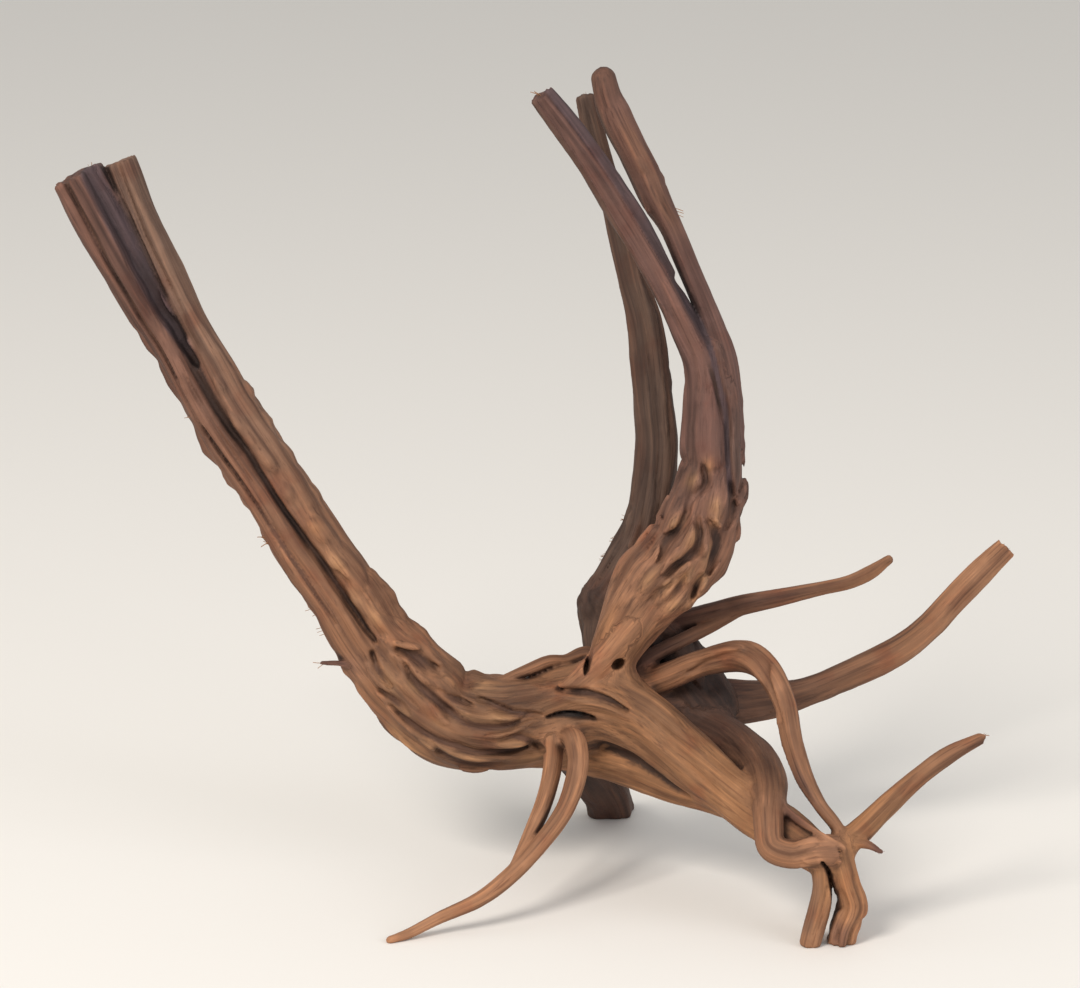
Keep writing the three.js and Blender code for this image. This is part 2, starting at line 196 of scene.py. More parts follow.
LIMBS = {
    "left_limb_front": dict(
        tones=("tan", "rust"), lane=1, melt=(5, 0.8, 26), end=("broken", 0.7), fibre=0.5, depth=1.1,
        ridges=(4, 0.07, 0.35),
        stations=[(-33, -1, 54, 11), (-50, -2, 67, 8.5), (-63, -3, 83, 6.5), (-73, -3, 100, 6),
            (-86, -2, 119, 6), (-95, -1, 135, 5.5), (-107, 0, 153, 6), (-117, 1, 170, 5.5),
            (-126, 2, 189, 5.5), (-135, 2, 205, 7), (-145, 2, 224, 7.5), (-152, 2, 238, 8),
            (-157, 2, 247, 7.5)],
        furrows=[(0, 0.25, 1.3, 5, 26), (0.25, 1, 0.5, 4.5, 90)],
        splits=[(0.3, 1.0, -28, 1.3, 1.6, 0.2), (0.05, 0.7, 12, 1.2, 1.3, 0.3)],
        stains=[(0.7, 1, 78, 26, "plum", 0.6), (0.5, 1, -85, 30, "umber", 0.35)],
        buds=[(0.73, -95, 1.8, 5, 9), (0.67, -95, 1.5, 5, 12), (0.56, -95, 2.5, 5, 12),
            (0.5, -80, 1.5, 4, 7), (0.46, -80, 1.5, 4, 6), (0.4, -90, 1.2, 4, 5), (0.28, -85, 1.2, 5, 9),
            (0.17, -85, 1.8, 6, 9)]),
    "left_limb_back": dict(
        tones=("tan", "grey_tan"), lane=1, melt=(6, 2, 24), end=("broken", 0.6), fibre=0.22, depth=1.3,
        ridges=(5, 0.05, 0.3),
        stations=[(-37, 0, 67, 11), (-43, 0, 78, 8.5), (-53, 0, 90, 7), (-61, 1, 103, 6.5),
            (-72, 2, 118, 6.5), (-93, 4, 152, 6.5), (-104, 5, 169, 6.5), (-112, 6, 184, 6),
            (-119, 7, 197, 5.5), (-131, 8, 223, 5.5), (-137, 9, 238, 5), (-142, 10, 251, 5)],
        furrows=[(0, 0.26, 1.4, 5.5, 20), (0.22, 0.7, 0.5, 7, 40)],
        splits=[(0.7, 1.0, 0, 1.1, 1.2, 0.2), (0.64, 0.97, -40, 1.1, 1.2, 0.3)],
        lobes=[(0.16, 0, 1.4, 5, 12), (0.2, -25, 1.4, 5, 12), (0.27, 0, 1.4, 6, 11),
            (0.34, 10, 1.2, 6, 10)],
        buds=[(0.58, 95, 1.8, 5, 7), (0.52, 95, 1.8, 5, 8), (0.46, 90, 1.8, 5, 8), (0.38, 90, 1.5, 4, 6),
            (0.18, 90, 1.8, 5, 8), (0.09, 95, 1.8, 6, 9), (0.61, -5, 1.2, 4, 6), (0.55, -25, 1.5, 4, 7),
            (0.47, -5, 1.8, 5, 8), (0.41, -10, 1.5, 5, 7), (0.32, 15, 2.5, 8, 12), (0.23, -5, 2, 5, 8)]),
    "left_seam": dict(
        tones=("rust", "tan"), lane=0, melt=(1, 1.2, 10), fibre=0.5, ridges=(4, 0.06, 0.4),
        stations=[(-120, 2, 189, 3.2), (-111.4, 1.5, 172, 4), (-98.9, 0.5, 151.8, 4.3),
            (-83.2, 0, 126.4, 4.5), (-68, -1, 104, 4.8), (-60, -2, 92, 4.5)]),
    "left_web": dict(
        tones=("plum", "plum"), lane=0, melt=(1, 0.8, 10), end=("broken", 1), fibre=0.5,
        stations=[(-117, 5, 180, 3), (-123.5, 5.5, 193.7, 3.6), (-129.5, 6, 204, 4), (-134.5, 6, 214, 4.2),
            (-140, 6, 226, 4.4), (-146, 6, 238, 4.4), (-151.5, 6, 249, 4)]),
    "trunk": dict(
        tones=("brown", "amber"), lane=0, melt=(6, 2, 30), fibre=0.3, lumps=0.7, depth=0.85,
        ridges=(6, 0.06, 0.5),
        stations=[(-59, 0, 87, 5), (-54, 0, 81, 10.5), (-44, 0, 68, 15.5), (-31, 0, 58, 16.5),
            (-14, 0, 55, 17.5), (3, 0, 57, 16), (21, -4, 63, 13.5), (35, -10, 59, 11.5), (48, -20, 51, 10),
            (61, -33, 44, 9), (73, -46, 38, 9), (85, -57, 33, 7.5), (95, -65, 28, 6)],
        furrows=[(0, 0.3, 1.8, 6.5, 24), (0, 0.26, 0.7, 3.4, 15), (0.25, 1, 0.5, 5, 60)],
        # the dark band on the underside of the trunk is painted shade where the lower root meets it
        stains=[(0.42, 0.7, 80, 34, "stain_and_shade_brown", 0.75)],
        lobes=[(0.07, 10, 2, 6, 15), (0.06, 50, 2, 6, 14), (0.11, -15, 2, 6, 12), (0.13, 20, 2, 5, 13),
            (0.18, 5, 2.2, 6, 14), (0.2, 30, 2, 5, 14), (0.25, 25, 2, 6, 15), (0.14, 60, 1.8, 6, 14),
            (0.32, 10, 2, 6, 14), (0.25, -60, 1.8, 8, 16), (0.18, 62, 1.8, 6, 16), (0.29, -20, 1.4, 6, 16),
            (0.22, -15, 1.6, 5, 14), (0.35, 40, 1.6, 7, 16), (0.16, -50, 1.8, 6, 14)]),
    "lower_root": dict(
        tones=("amber", "amber"), lane=1, melt=(5, 2, 16), fibre=0.25, ridges=(3, 0.06, 0.3),
        stations=[(2, 4, 45, 7), (18, 2, 43, 8), (34, -7, 41, 7), (48, -18, 38, 6), (62, -29, 36, 5)]),
    # the stump's dark tones are painted shade, for it sits in the shadow under the trunk
    "back_stump": dict(
        tones=("stain_and_shade_brown", "umber"), lane=1, melt=(7, 2, 20), fibre=0.6, depth=0.9, ridges=(4, 0.08, 0.2),
        stations=[(7, 14, 50, 10.5), (17, 36, 29, 9.5), (24, 56, 12, 9), (27, 70, -4, 8)]),
    "upright_base": dict(
        tones=("tan", "mauve"), lane=1, melt=(7, 2, 30), fibre=0.3, lumps=0.5, depth=0.9,
        ridges=(5, 0.06, 0.4),
        stations=[(23, -2, 66, 8.5), (25, -1, 79, 8.5), (31, 0, 92, 10.5), (40, 1, 105, 14),
            (51, 2, 118, 15), (56, 3, 131, 13), (59, 4, 146, 10.5), (59, 5, 159, 9.5), (59, 5, 171, 9),
            (57, 5, 185, 7)],
        furrows=[(0.38, 0.74, 1.9, 5, 14), (0.6, 1, 0.6, 4.5, 60)],
        stains=[(0.6, 1, -55, 25, "umber", 0.55), (0.66, 1, 45, 18, "walnut", 0.6),
            (0, 0.25, 0, 60, "amber", 0.6)],
        lobes=[(0.71, -10, 1.4, 5, 8), (0.66, -35, 1.4, 5, 8), (0.57, 20, 1.8, 6, 9),
            (0.61, 12, 1.8, 5, 8), (0.51, -5, 2, 6, 12), (0.49, 25, 2, 6, 10), (0.44, -5, 1.8, 5, 8),
            (0.42, 15, 2, 6, 10), (0.44, 38, 1.8, 6, 9), (0.36, 5, 2, 6, 12), (0.37, 50, 1.8, 7, 12),
            (0.53, -35, 1.6, 5, 9), (0.33, 30, 1.6, 5, 12), (0.35, -20, 1.4, 5, 12)],
        buds=[(0.94, 95, 2, 5, 6), (0.88, 90, 1.8, 5, 8), (0.81, 90, 1.8, 5, 7), (0.64, 90, 2.2, 6, 9),
            (0.53, 90, 2.2, 7, 8), (0.47, 85, 2, 7, 8), (0.81, -45, 1.5, 4, 5), (0.72, -50, 1.5, 4, 6)]),
    "upright_leg": dict(
        tones=("pale", "pale"), lane=1, melt=(3, 0.8, 12), fibre=0.4, ridges=(3, 0.06, 0.2),
        stations=[(32, -4, 92, 6), (22, -7, 81, 5), (15, -9, 75, 4), (9, -9, 70, 2.5)]),
    "upright_left": dict(
        tones=("mauve", "mauve"), lane=0, melt=(4, 0.4, 24), end=("broken", 1.3), fibre=0.45, depth=0.9,
        ridges=(4, 0.07, 0.3),
        stations=[(56, 3, 156, 7), (56, 4, 169, 6.5), (55, 4, 183, 6), (50, 3, 194, 5.5),
            (40, 0, 215, 5.5), (27, -3, 237, 5.5), (17, -5, 253, 5), (7, -7, 267, 4.5), (0, -8, 276, 4)],
        furrows=[(0, 1, 0.6, 4, 90)],
        splits=[(0.15, 1, 38, 1.5, 1.8, 0.15), (0.3, 1.0, -50, 1.2, 1.5, 0.2)],
        stains=[(0.25, 1, 68, 32, "plum", 0.85), (0.2, 1, -80, 24, "walnut", 0.7),
            (0.1, 1, 0, 26, "rust", 0.35)]),
    "upright_right": dict(
        tones=("mauve", "rust"), lane=1, melt=(4, 0.4, 24), fibre=0.35, ridges=(4, 0.05, 0.3),
        stations=[(66, 4, 155, 3.5), (65, 5, 169, 4), (62, 5, 185, 4.5), (57, 7, 199, 4), (48, 9, 220, 4),
            (44, 10, 229, 4), (39, 11, 238, 5), (35, 12, 247, 5.5), (25, 13, 267, 5.3), (23, 13, 272, 4.4),
            (21.5, 13.5, 278, 4.1)],
        furrows=[(0, 1, 0.4, 3.5, 60)],
        stains=[(0.4, 1, -75, 22, "walnut", 0.7), (0.95, 1, 0, 190, "umber", 0.6),
            (0.55, 0.9, 20, 30, "tan", 0.35)],
        buds=[(0.76, 5, 1.2, 4, 6), (0.71, 95, 1.2, 3, 4), (0.975, 0, 1.2, 9, 7)]),
    "back_upright": dict(
        tones=("walnut", "walnut"), lane=0, melt=(5, 1, 24), end=("broken", 0.8), fibre=0.35, depth=0.7,
        ridges=(3, 0.08, 0.2),
        stations=[(23, 16, 66, 5), (21, 20, 79, 6.5), (24, 24, 93, 7.5), (30, 25, 104, 8),
            (37, 25, 118, 8), (41, 25, 147, 7.5), (40, 25, 161, 7.5), (36, 25, 193, 6), (32, 25, 207, 5),
            (28, 26, 224, 4.5), (23, 26, 242, 4), (18, 26, 259, 4), (15, 26, 271, 3)],
        furrows=[(0, 0.3, 1.6, 4, 14), (0.25, 1, 0.7, 4.5, 110)],
        splits=[(0.3, 0.8, 10, 2.2, 1.6, 0.2), (0.36, 0.8, 50, 1.2, 1.5, 0.3)],
        stains=[(0.3, 1, -60, 30, "umber", 0.5), (0.35, 1, 70, 30, "umber", 0.6)],
        buds=[(0.52, 85, 1.2, 4, 6)]),
    # the collar's dark tone is painted shade, for it lies in the shadow behind the uprights
    "back_collar": dict(
        tones=("stain_and_shade_brown", "stain_and_shade_brown"), lane=1, melt=(6, 2, 20), fibre=0.5, lumps=0.8, depth=0.9,
        ridges=(4, 0.07, 0.2),
        stations=[(21, 24, 91, 6.5), (25, 24, 86, 9), (34, 24, 80, 11.5), (43, 22, 73, 12.5),
            (52, 16, 65, 12.5), (58, 12, 58, 10)],
        furrows=[(0, 1, 2.0, 5, 11)]),
    "right_root": dict(
        tones=("umber", "pale"), lane=1, melt=(6, 1, 24), end=("broken", 0.8), fibre=0.25,
        ridges=(3, 0.06, 0.4),
        stations=[(35, 10, 58, 10.5), (56, 16, 57, 9), (76, 20, 57, 7), (92, 23, 59, 5.5),
            (110, 27, 65, 5), (128, 31, 73, 5), (139, 34, 81, 5), (148, 37, 90, 4.5), (158, 39, 100, 4.5),
            (166, 42, 107, 4)],
        furrows=[(0, 1, 0.3, 5, 45)]),
    "upper_twig": dict(
        tones=("rust", "tan"), lane=1, melt=(4, 0.5, 14), fibre=0.25,
        stations=[(42, 22, 84, 4), (58, 17, 89, 4.5), (70, 13, 94, 3.5), (83, 9, 98, 3), (97, 6, 102, 2.5),
            (107, 4, 105, 2.5), (114, 2, 109, 2.5), (120, 0, 114, 1.5)]),
    "upper_twig_strand": dict(
        tones=("rust", "tan"), lane=0, melt=(3, 0.4, 10), fibre=0.25,
        stations=[(31, 8, 70, 3), (38, 9, 76, 3), (49, 10, 82, 2.5), (58, 12, 86, 2.5), (74, 12, 94, 1)]),
    "arch": dict(
        tones=("tan", "tan"), lane=0, melt=(5, 0.6, 16), fibre=0.4, depth=0.9, ridges=(3, 0.07, 0.6),
        stations=[(32, 8, 65, 5), (45, 4, 71, 5), (57, -2, 78, 4.5), (70, -12, 83, 5.5), (78, -23, 80, 5),
            (83, -33, 72, 4.5), (85, -43, 62, 4), (88, -51, 53, 3.5), (93, -57, 45, 2.5),
            (99, -62, 38, 2.5), (102, -65, 32, 1.5)],
        splits=[(0.45, 0.98, 20, 1.2, 1.4, 0.6)],
        stains=[(0.74, 0.88, -10, 60, "rust", 0.75), (0, 0.6, 60, 30, "rust", 0.4)]),
    "loop_root": dict(
        tones=("umber", "tan"), lane=1, melt=(6, 0.8, 16), end=("broken", 1.8), fibre=0.35,
        stations=[(54, 8, 52, 9), (67, -6, 49, 8.5), (75, -27, 47, 7.5), (77, -49, 44, 6),
            (76, -62, 39, 5), (77, -66, 33, 4.5), (84, -68, 31, 4.5), (91, -70, 33, 4.5),
            (99, -69, 33, 5)],
        furrows=[(0.9, 1, 2.0, 2.6, 5)],
        stains=[(0.93, 1, 0, 190, "rust", 0.5), (0.6, 0.66, 60, 60, "rust", 0.5)],
        buds=[(0.45, -15, 1.5, 5, 7), (0.59, -20, 1.5, 5, 6)]),
    "loop_strand": dict(
        tones=("rust", "pale"), lane=0, melt=(1.5, 0.4, 5), fibre=0.3,
        stations=[(80.8, -56, 43.5, 1.6), (84.9, -61, 41.4, 1.4), (90.2, -67, 39.3, 1.2),
            (95.1, -71, 37.5, 1.2), (100.0, -72, 34.7, 1)]),
    "foot_spur": dict(
        tones=("amber", "rust"), lane=1, melt=(2, 0.4, 5), fibre=0.3,
        stations=[(104, -65, 34.5, 2), (109, -67, 34, 1.5), (113, -69, 32.3, 0.7)]),
    "upright_sliver": dict(
        tones=("rust", "rust"), lane=0, melt=(1.5, 0.3, 4), fibre=0.3,
        stations=[(33.8, 9.5, 245, 1.3), (35.2, 8.8, 239.5, 1.2), (36.6, 8, 234, 0.8)]),
    "limb_splinter": dict(
        tones=("rust", "rust"), lane=1, melt=(1.5, 0.4, 4), fibre=0.3,
        stations=[(-144, 4, 238, 2), (-147.3, 3.5, 245, 1.9), (-149.3, 3, 250, 0.9)]),
    "lower_twig": dict(
        tones=("amber", "tan"), lane=0, melt=(3, 0.5, 10), end=("broken", 2.5), fibre=0.3,
        stations=[(99, -62, 31, 4.5), (106, -61, 36, 4.5), (115, -58, 44, 4), (126, -54, 53, 3),
            (137, -50, 60, 3), (149, -46, 65, 2)]),
    "foot_left": dict(
        tones=("amber", "pale"), lane=0, melt=(3, 0.4, 8), fibre=0.45, depth=1.2,
        stations=[(94, -66, 30, 4.2), (94.6, -68, 20, 4.2), (93, -69, 12, 3.8), (90.6, -70, 3, 3.4),
            (89.5, -70, -3, 3.4)],
        splits=[(0.25, 0.95, -10, 1.1, 1.2, 0.4)], stains=[(0.15, 0.8, 60, 40, "grey_tan", 0.5)]),
    "foot_right": dict(
        tones=("amber", "pale"), lane=1, melt=(3, 0.4, 8), fibre=0.5, depth=1.1,
        stations=[(99, -66, 32, 4.5), (102, -67, 21, 4.5), (104, -67, 13, 5), (101, -68, 5, 4.5),
            (100, -68, -3, 4.5)],
        furrows=[(0.55, 1, 1.4, 3, 9)],
        splits=[(0.2, 0.95, -30, 1.2, 1.5, 0.4), (0.3, 0.95, 30, 1.2, 1.3, 0.4)],
        stains=[(0.7, 1, 20, 40, "rust", 0.7)]),
    "front_root": dict(
        tones=("pale", "pale"), lane=1, melt=(3, 0.4, 8), fibre=0.25,
        stations=[(9, -12, 54.5, 3), (12, -22, 55.3, 4), (13, -29, 49.5, 3.5), (9, -36, 37, 3),
            (1, -43, 27, 3), (-9, -50, 18, 3), (-20, -56, 11, 2.5), (-34, -61, 6, 2), (-44, -65, 2, 1.8),
            (-50, -68, 0.8, 1.4)]),
    "front_root_inner": dict(
        tones=("pale", "pale"), lane=0, melt=(3, 0.4, 8), fibre=0.25,
        stations=[(5, -12, 52.5, 3.5), (4, -22, 44.5, 3.5), (1, -32, 36, 3), (-4, -41, 27, 2.5),
            (-10, -50, 18, 1.5)]),
    "top_runner": dict(
        tones=("tan", "tan"), lane=1, melt=(2, 0.4, 6), fibre=0.2,
        stations=[(-14, -2, 71, 1.5), (-3, 0, 75, 2.4), (3, 2, 76.8, 2.5), (9, 4, 76.3, 2.4),
            (16, 6, 78, 3.2), (22, 4, 76, 3)]),
    "side_twig": dict(
        tones=("rust", "rust"), lane=1, melt=(2, 0.4, 6), fibre=0.1,
        stations=[(-57, -3, 74, 2.5), (-67, -8, 79, 1.2), (-75, -10, 80, 0.7)]),
}
print("limbs", len(LIMBS), "bud scars", sum(len(limb.get("buds", [])) for limb in LIMBS.values()))

# %% [markdown]
# ## A line through the stations
# A smooth curve has to pass through each station without swinging out between near ones. The
# centripetal Catmull-Rom curve does that, and the frame was built on the same one. Along it two
# more directions are carried, the front and the side of the section, turned as little as
# possible, so that an angle round the limb means the same side all the way.

# %% The centre line of a limb
SAMPLE_STEP = 1.0
RADIUS_EASE = 3
FINE_SAMPLES = 40


def curve_points(points, places):
    """Points of the centripetal Catmull-Rom curve. A place is a station's number, with parts between."""
    ends = np.vstack([2 * points[0] - points[1], points, 2 * points[-1] - points[-2]])
    low = np.minimum(places.astype(int), len(points) - 2)
    w = (places - low)[:, None]
    p0, p1, p2, p3 = (ends[low + k] for k in range(4))
    pairs = ((p0, p1), (p1, p2), (p2, p3))
    d0, d1, d2 = (np.sqrt(np.linalg.norm(b - a, axis=1))[:, None] for a, b in pairs)
    t1 = ((p1 - p0) / d0 - (p2 - p0) / (d0 + d1) + (p2 - p1) / d1) * d1
    t2 = ((p2 - p1) / d1 - (p3 - p1) / (d1 + d2) + (p3 - p2) / d2) * d1
    return p1 + t1 * w + (-3 * p1 + 3 * p2 - 2 * t1 - t2) * w**2 + (2 * p1 - 2 * p2 + t1 + t2) * w**3


def eased(values, width):
    """A running mean, with the ends held."""
    padded = np.pad(values, width, mode="edge")
    return np.convolve(padded, np.ones(2 * width + 1) / (2 * width + 1), mode="valid")


def centre_line(stations):
    """Samples about a millimetre apart: place, radius, direction, front, side and distance along."""
    stations = np.array(stations, float)
    points = stations[:, :3] - MIDDLE
    places = np.linspace(0, len(points) - 1, FINE_SAMPLES * len(points))
    fine = curve_points(points, places)
    run = np.concatenate([[0], np.cumsum(np.linalg.norm(np.diff(fine, axis=0), axis=1))])
    count = max(8, round(run[-1] / SAMPLE_STEP))
    along = np.linspace(0, run[-1], count + 1)
    place = np.interp(along, run, places)
    at = curve_points(points, place)
    radius = eased(np.interp(place, np.arange(len(points)), stations[:, 3]), RADIUS_EASE)
    ahead = np.gradient(at, axis=0)
    ahead /= np.linalg.norm(ahead, axis=1)[:, None]
    front = np.zeros_like(at)
    carried = np.array([0, -1.0, 0]) if abs(ahead[0, 1]) < 0.9 else np.array([0, 0, 1.0])
    for i, direction in enumerate(ahead):
        carried = carried - carried.dot(direction) * direction
        carried /= np.linalg.norm(carried)
        front[i] = carried
    side = np.cross(ahead, front)
    return dict(at=at, radius=radius, ahead=ahead, front=front, side=side, along=along)


for limb in LIMBS.values():
    limb["line"] = centre_line(limb["stations"])
print("length of all limbs, mm:", round(sum(limb["line"]["along"][-1] for limb in LIMBS.values())))

# %% [markdown]
# ## Roughness that never repeats
# Grown wood is uneven at every size. A lattice of random numbers, blended smoothly between its
# points, gives a rough field that any formula can read. The seed is fixed, so every run grows
# the same root.

# %% A lattice of seeded random numbers
LATTICE_SIDE = 64
LATTICE = np.random.default_rng(41).uniform(-1, 1, (LATTICE_SIDE,) * 3).astype(np.float32)


def rough(x, y, z):
    """Smooth random values from -1 to 1, with lumps one unit apart."""
    cells, parts = [], []
    for c in (x, y, z):
        low = np.floor(c)
        part = (c - low).astype(np.float32)
        cells.append(low.astype(np.int64))
        parts.append(part * part * (3 - 2 * part))
    value = 0
    for corner in np.ndindex(2, 2, 2):
        weight = 1
        for part, high in zip(parts, corner):
            weight = weight * (part if high else 1 - part)
        index = tuple((cell + high) % LATTICE_SIDE for cell, high in zip(cells, corner))
        value = value + weight * LATTICE[index]
    return value


print("rough at one place:", round(float(rough(*np.array([[1.5], [2.5], [3.5]]))[0]), 3))

# %% [markdown]
# ## The skin of one limb
# For a point near a limb, the nearest sample of its line gives the distance along it, the angle
# round it and the distance from it. The skin lies at the radius there, changed by the ridges,
# scars, lobes, splits and furrows, and by fibres: roughness that is read in the limb's own
# coordinates and is stretched along it ten times, which is what makes it look like wood and not
# like stone.

# %% Point to limb coordinates
GRAIN_WAVE = 46
GRAIN_SWELL = 0.045


def limb_coordinates(limb, points, nearest):
    """Distance along, side and front offsets, angle, stretched distance and radius at points."""
    line = limb["line"]
    offset = points - line["at"][nearest]
    slip = (offset * line["ahead"][nearest]).sum(1)
    x = (offset * line["side"][nearest]).sum(1)
    y = (offset * line["front"][nearest]).sum(1)
    along = line["along"][nearest] + slip
    flat = limb.get("depth", 1.0)
    radius = np.interp(along, line["along"], line["radius"])
    return dict(along=along, x=x, y=y, angle=np.arctan2(x, y / flat), stretched=np.hypot(x, y / flat),
                true=np.hypot(x, y), radius=radius, share=np.clip(along / line["along"][-1], 0, 1))


def turned(angle, degrees):
    """The angle from a direction, between minus and plus half a turn."""
    return (angle - math.radians(degrees) + math.pi) % (2 * math.pi) - math.pi


def eased_step(value, low, high):
    """0 below low, 1 above high, smooth between."""
    t = np.clip((value - low) / (high - low), 0, 1)
    return t * t * (3 - 2 * t)


def faded(share, start, stop, outwards, inwards, at_tip=False):
    """1 from one share of a limb to another, eased off at both ends, but at the tip only if told to."""
    shown = eased_step(share, start - outwards, start + inwards)
    if stop < 1 or at_tip:
        shown = shown * (1 - eased_step(share, stop - inwards, stop + outwards))
    return shown


def oval(limb, c, place, degrees, wide, long):
    """How far points lie along and across an oval spot on a limb, with 1 at its edge."""
    u = (c["along"] - place * limb["line"]["along"][-1]) / (long / 2)
    return u, turned(c["angle"], degrees) * c["radius"] / (wide / 2)


print("a step half way:", float(eased_step(0.5, 0, 1)))

# %% Ridges, bud scars and lobes
BUD_RISE = 0.62
BUD_MOAT = 0.16
BUD_DIMPLE = 0.22
LOBE_RISE = 0.75
LOBE_MOAT = 0.2
LOBE_TWIST = 0.35


def main_form(limb, c):
    """The radius with the slow ridges and swells that the frame has too."""
    count, height, turns = limb.get("ridges", (0, 0, 0))
    form = height * np.cos(count * (c["angle"] - 2 * math.pi * turns * c["share"])) if count else 0
    swell = GRAIN_SWELL * np.sin(2 * math.pi * c["along"] / GRAIN_WAVE + 2 * c["angle"])
    return c["radius"] * (1 + form + swell)


def bud_scars(limb, c):
    """Low oval knobs, each with a worn dimple on it and a faint moat round it."""
    height = 0
    for place, degrees, rise, wide, long in limb.get("buds", []):
        u, v = oval(limb, c, place, degrees, wide, long)
        q = np.hypot(u, v)
        height = height + BUD_RISE * rise * np.exp(-1.6 * q**2)
        height = height - BUD_MOAT * rise * np.exp(-(((q - 1.5) / 0.35) ** 2))
        height = height - BUD_DIMPLE * rise * np.exp(-(((u - 0.2) / 0.3) ** 2) - (v / 0.45) ** 2)
    return height


def lobes(limb, c):
    """Spindle-shaped folds of old bark, each with a shallow groove round it."""
    height = 0
    for place, degrees, rise, wide, long in limb.get("lobes", []):
        u, v = oval(limb, c, place, degrees, wide, long)
        q = np.hypot(u, v + LOBE_TWIST * np.sin(1.4 * u))
        height = height + LOBE_RISE * rise * np.exp(-1.5 * q**2)
        height = height - LOBE_MOAT * rise * np.exp(-(((q - 1.5) / 0.4) ** 2))
    return height


print("lobes", sum(len(limb.get("lobes", [])) for limb in LIMBS.values()))

# %% Splits, furrows and fibres
WANDER = 23
BUNDLE_WIDE = 3.1
BUNDLE_LONG = 38
STRAND_WIDE = 1.5
STRAND_LONG = 17


def drying_splits(limb, c):
    """Long V grooves that wander a little round the limb and run out at both ends."""
    depth = 0
    for start, stop, degrees, half, deep, wander in limb.get("splits", []):
        drift = wander * rough(c["along"] / WANDER, np.full_like(c["along"], degrees + 0.5), c["along"] / 61)
        across = np.abs(turned(c["angle"] + drift, degrees)) * c["radius"]
        ends = faded(c["share"], start, stop, 0, 0.08)
        width = half * (0.55 + 0.45 * ends)
        depth = depth + deep * ends * np.clip(1 - across / width, 0, 1) ** 0.8
    return depth


def furrows(limb, c):
    """Rounded bark ridges with narrow valleys that run with the limb, split and join."""
    height = 0
    for number, (start, stop, rise, across, long) in enumerate(limb.get("furrows", [])):
        k = limb["number"] * 5.1 + number * 17.7
        bend = 0.5 * across * rough(c["along"] / long + k, c["x"] / across / 2, c["y"] / across / 2)
        ridge = np.abs(rough((c["x"] + bend) / across + k, (c["y"] - bend) / across, c["along"] / long))
        shown = faded(c["share"], start, stop, 0.08, 0.04, at_tip=True)
        height = height + rise * shown * (1.7 * np.minimum(ridge, 0.5) ** 0.6 - 0.75)
    return height


def fibres(limb, c, points):
    """Bundles of fibre along the limb, finer ones on them, and lumps where the crown is bark."""
    k = limb["number"] * 7.3
    bend = 1.4 * rough(c["along"] / 31, c["angle"] * 0.8 + k, np.full_like(c["along"], k))
    x, y, along = c["x"] + bend, c["y"] - 0.6 * bend, c["along"]
    bundles = 1 - 2 * np.abs(rough(x / BUNDLE_WIDE + k, y / BUNDLE_WIDE, along / BUNDLE_LONG))
    strands = rough(x / STRAND_WIDE + k, y / STRAND_WIDE + 9, along / STRAND_LONG)
    height = limb["fibre"] * (0.6 * bundles + 0.4 * strands)
    height = height + 0.12 * rough(*(points.T / 4.0))
    lumps = limb.get("lumps", 0.25)
    return height + lumps * rough(x / 9 + k, y / 9, along / 16)


print("splits", sum(len(limb.get("splits", [])) for limb in LIMBS.values()))

# %% Distance from one limb
BAND = 8.0
DETAIL_BAND = 4.0
FULL_RELIEF_RADIUS = 6


def limb_distance(limb, points, nearest):
    """How far points lie outside the limb's skin, mm, and their coordinates on the limb."""
    c = limb_coordinates(limb, points, nearest)
    length = limb["line"]["along"][-1]
    before = np.maximum(-c["along"], 0)
    past = np.maximum(c["along"] - length, 0)
    kind, jag = limb.get("end", ("round", 0))
    cap = before if kind == "broken" else before + past
    reach = np.hypot(c["stretched"], cap)
    skin = main_form(limb, c)
    scale = np.hypot(c["true"], cap) / np.maximum(reach, 1e-3)
    distance = (reach - skin) * scale
    close = np.abs(distance) < DETAIL_BAND
    near = {key: value[close] for key, value in c.items()}
    detail = bud_scars(limb, near) + lobes(limb, near) - drying_splits(limb, near) + furrows(limb, near)
    detail = detail + fibres(limb, near, points[close])
    # thin roots carry less of the relief
    detail = detail * np.clip(near["radius"] / FULL_RELIEF_RADIUS, 0.25, 1)
    distance[close] -= detail * scale[close]
    if kind == "broken":
        k = limb["number"] * 3.7
        splinters = jag * (0.8 * rough(c["x"] / 1.5 + k, c["y"] / 1.5, np.full_like(c["x"], k)) - 0.3)
        distance = np.maximum(distance, c["along"] - length - splinters)
    return distance, c


for number, limb in enumerate(LIMBS.values()):
    limb["number"] = number
    limb["reach"] = limb["line"]["radius"].max() * max(1, limb.get("depth", 1.0)) + BAND
print("widest reach, mm:", round(max(limb["reach"] for limb in LIMBS.values()), 1))

# %% [markdown]
# ## One field for the whole root
# The space round the root is a grid of small cells. Each cell keeps its distance to the nearest
# skin. Where two limbs meet, a smooth minimum melts them together: wide at a limb's base, where
# wood has grown over the join, and very narrow further up, so that the crack between two
# strands stays open.

# %% Fill the grid
CELL = 0.7
MARGIN = 6.0
CHUNK = 12

low = np.array(cad_box[0]) / MM - MARGIN
high = np.array(cad_box[1]) / MM + MARGIN
shape = np.ceil((high - low) / CELL).astype(int)
field = np.full(shape, BAND, np.float32)


def smooth_minimum(a, b, k):
    """The lower of two distances, rounded off over k millimetres."""
    h = np.maximum(k - np.abs(a - b), 0) / k
    return np.minimum(a, b) - h * h * k / 4


def cell_of(place):
    """The cell that a place in mm lies in."""
    return ((place - low) / CELL).astype(int)


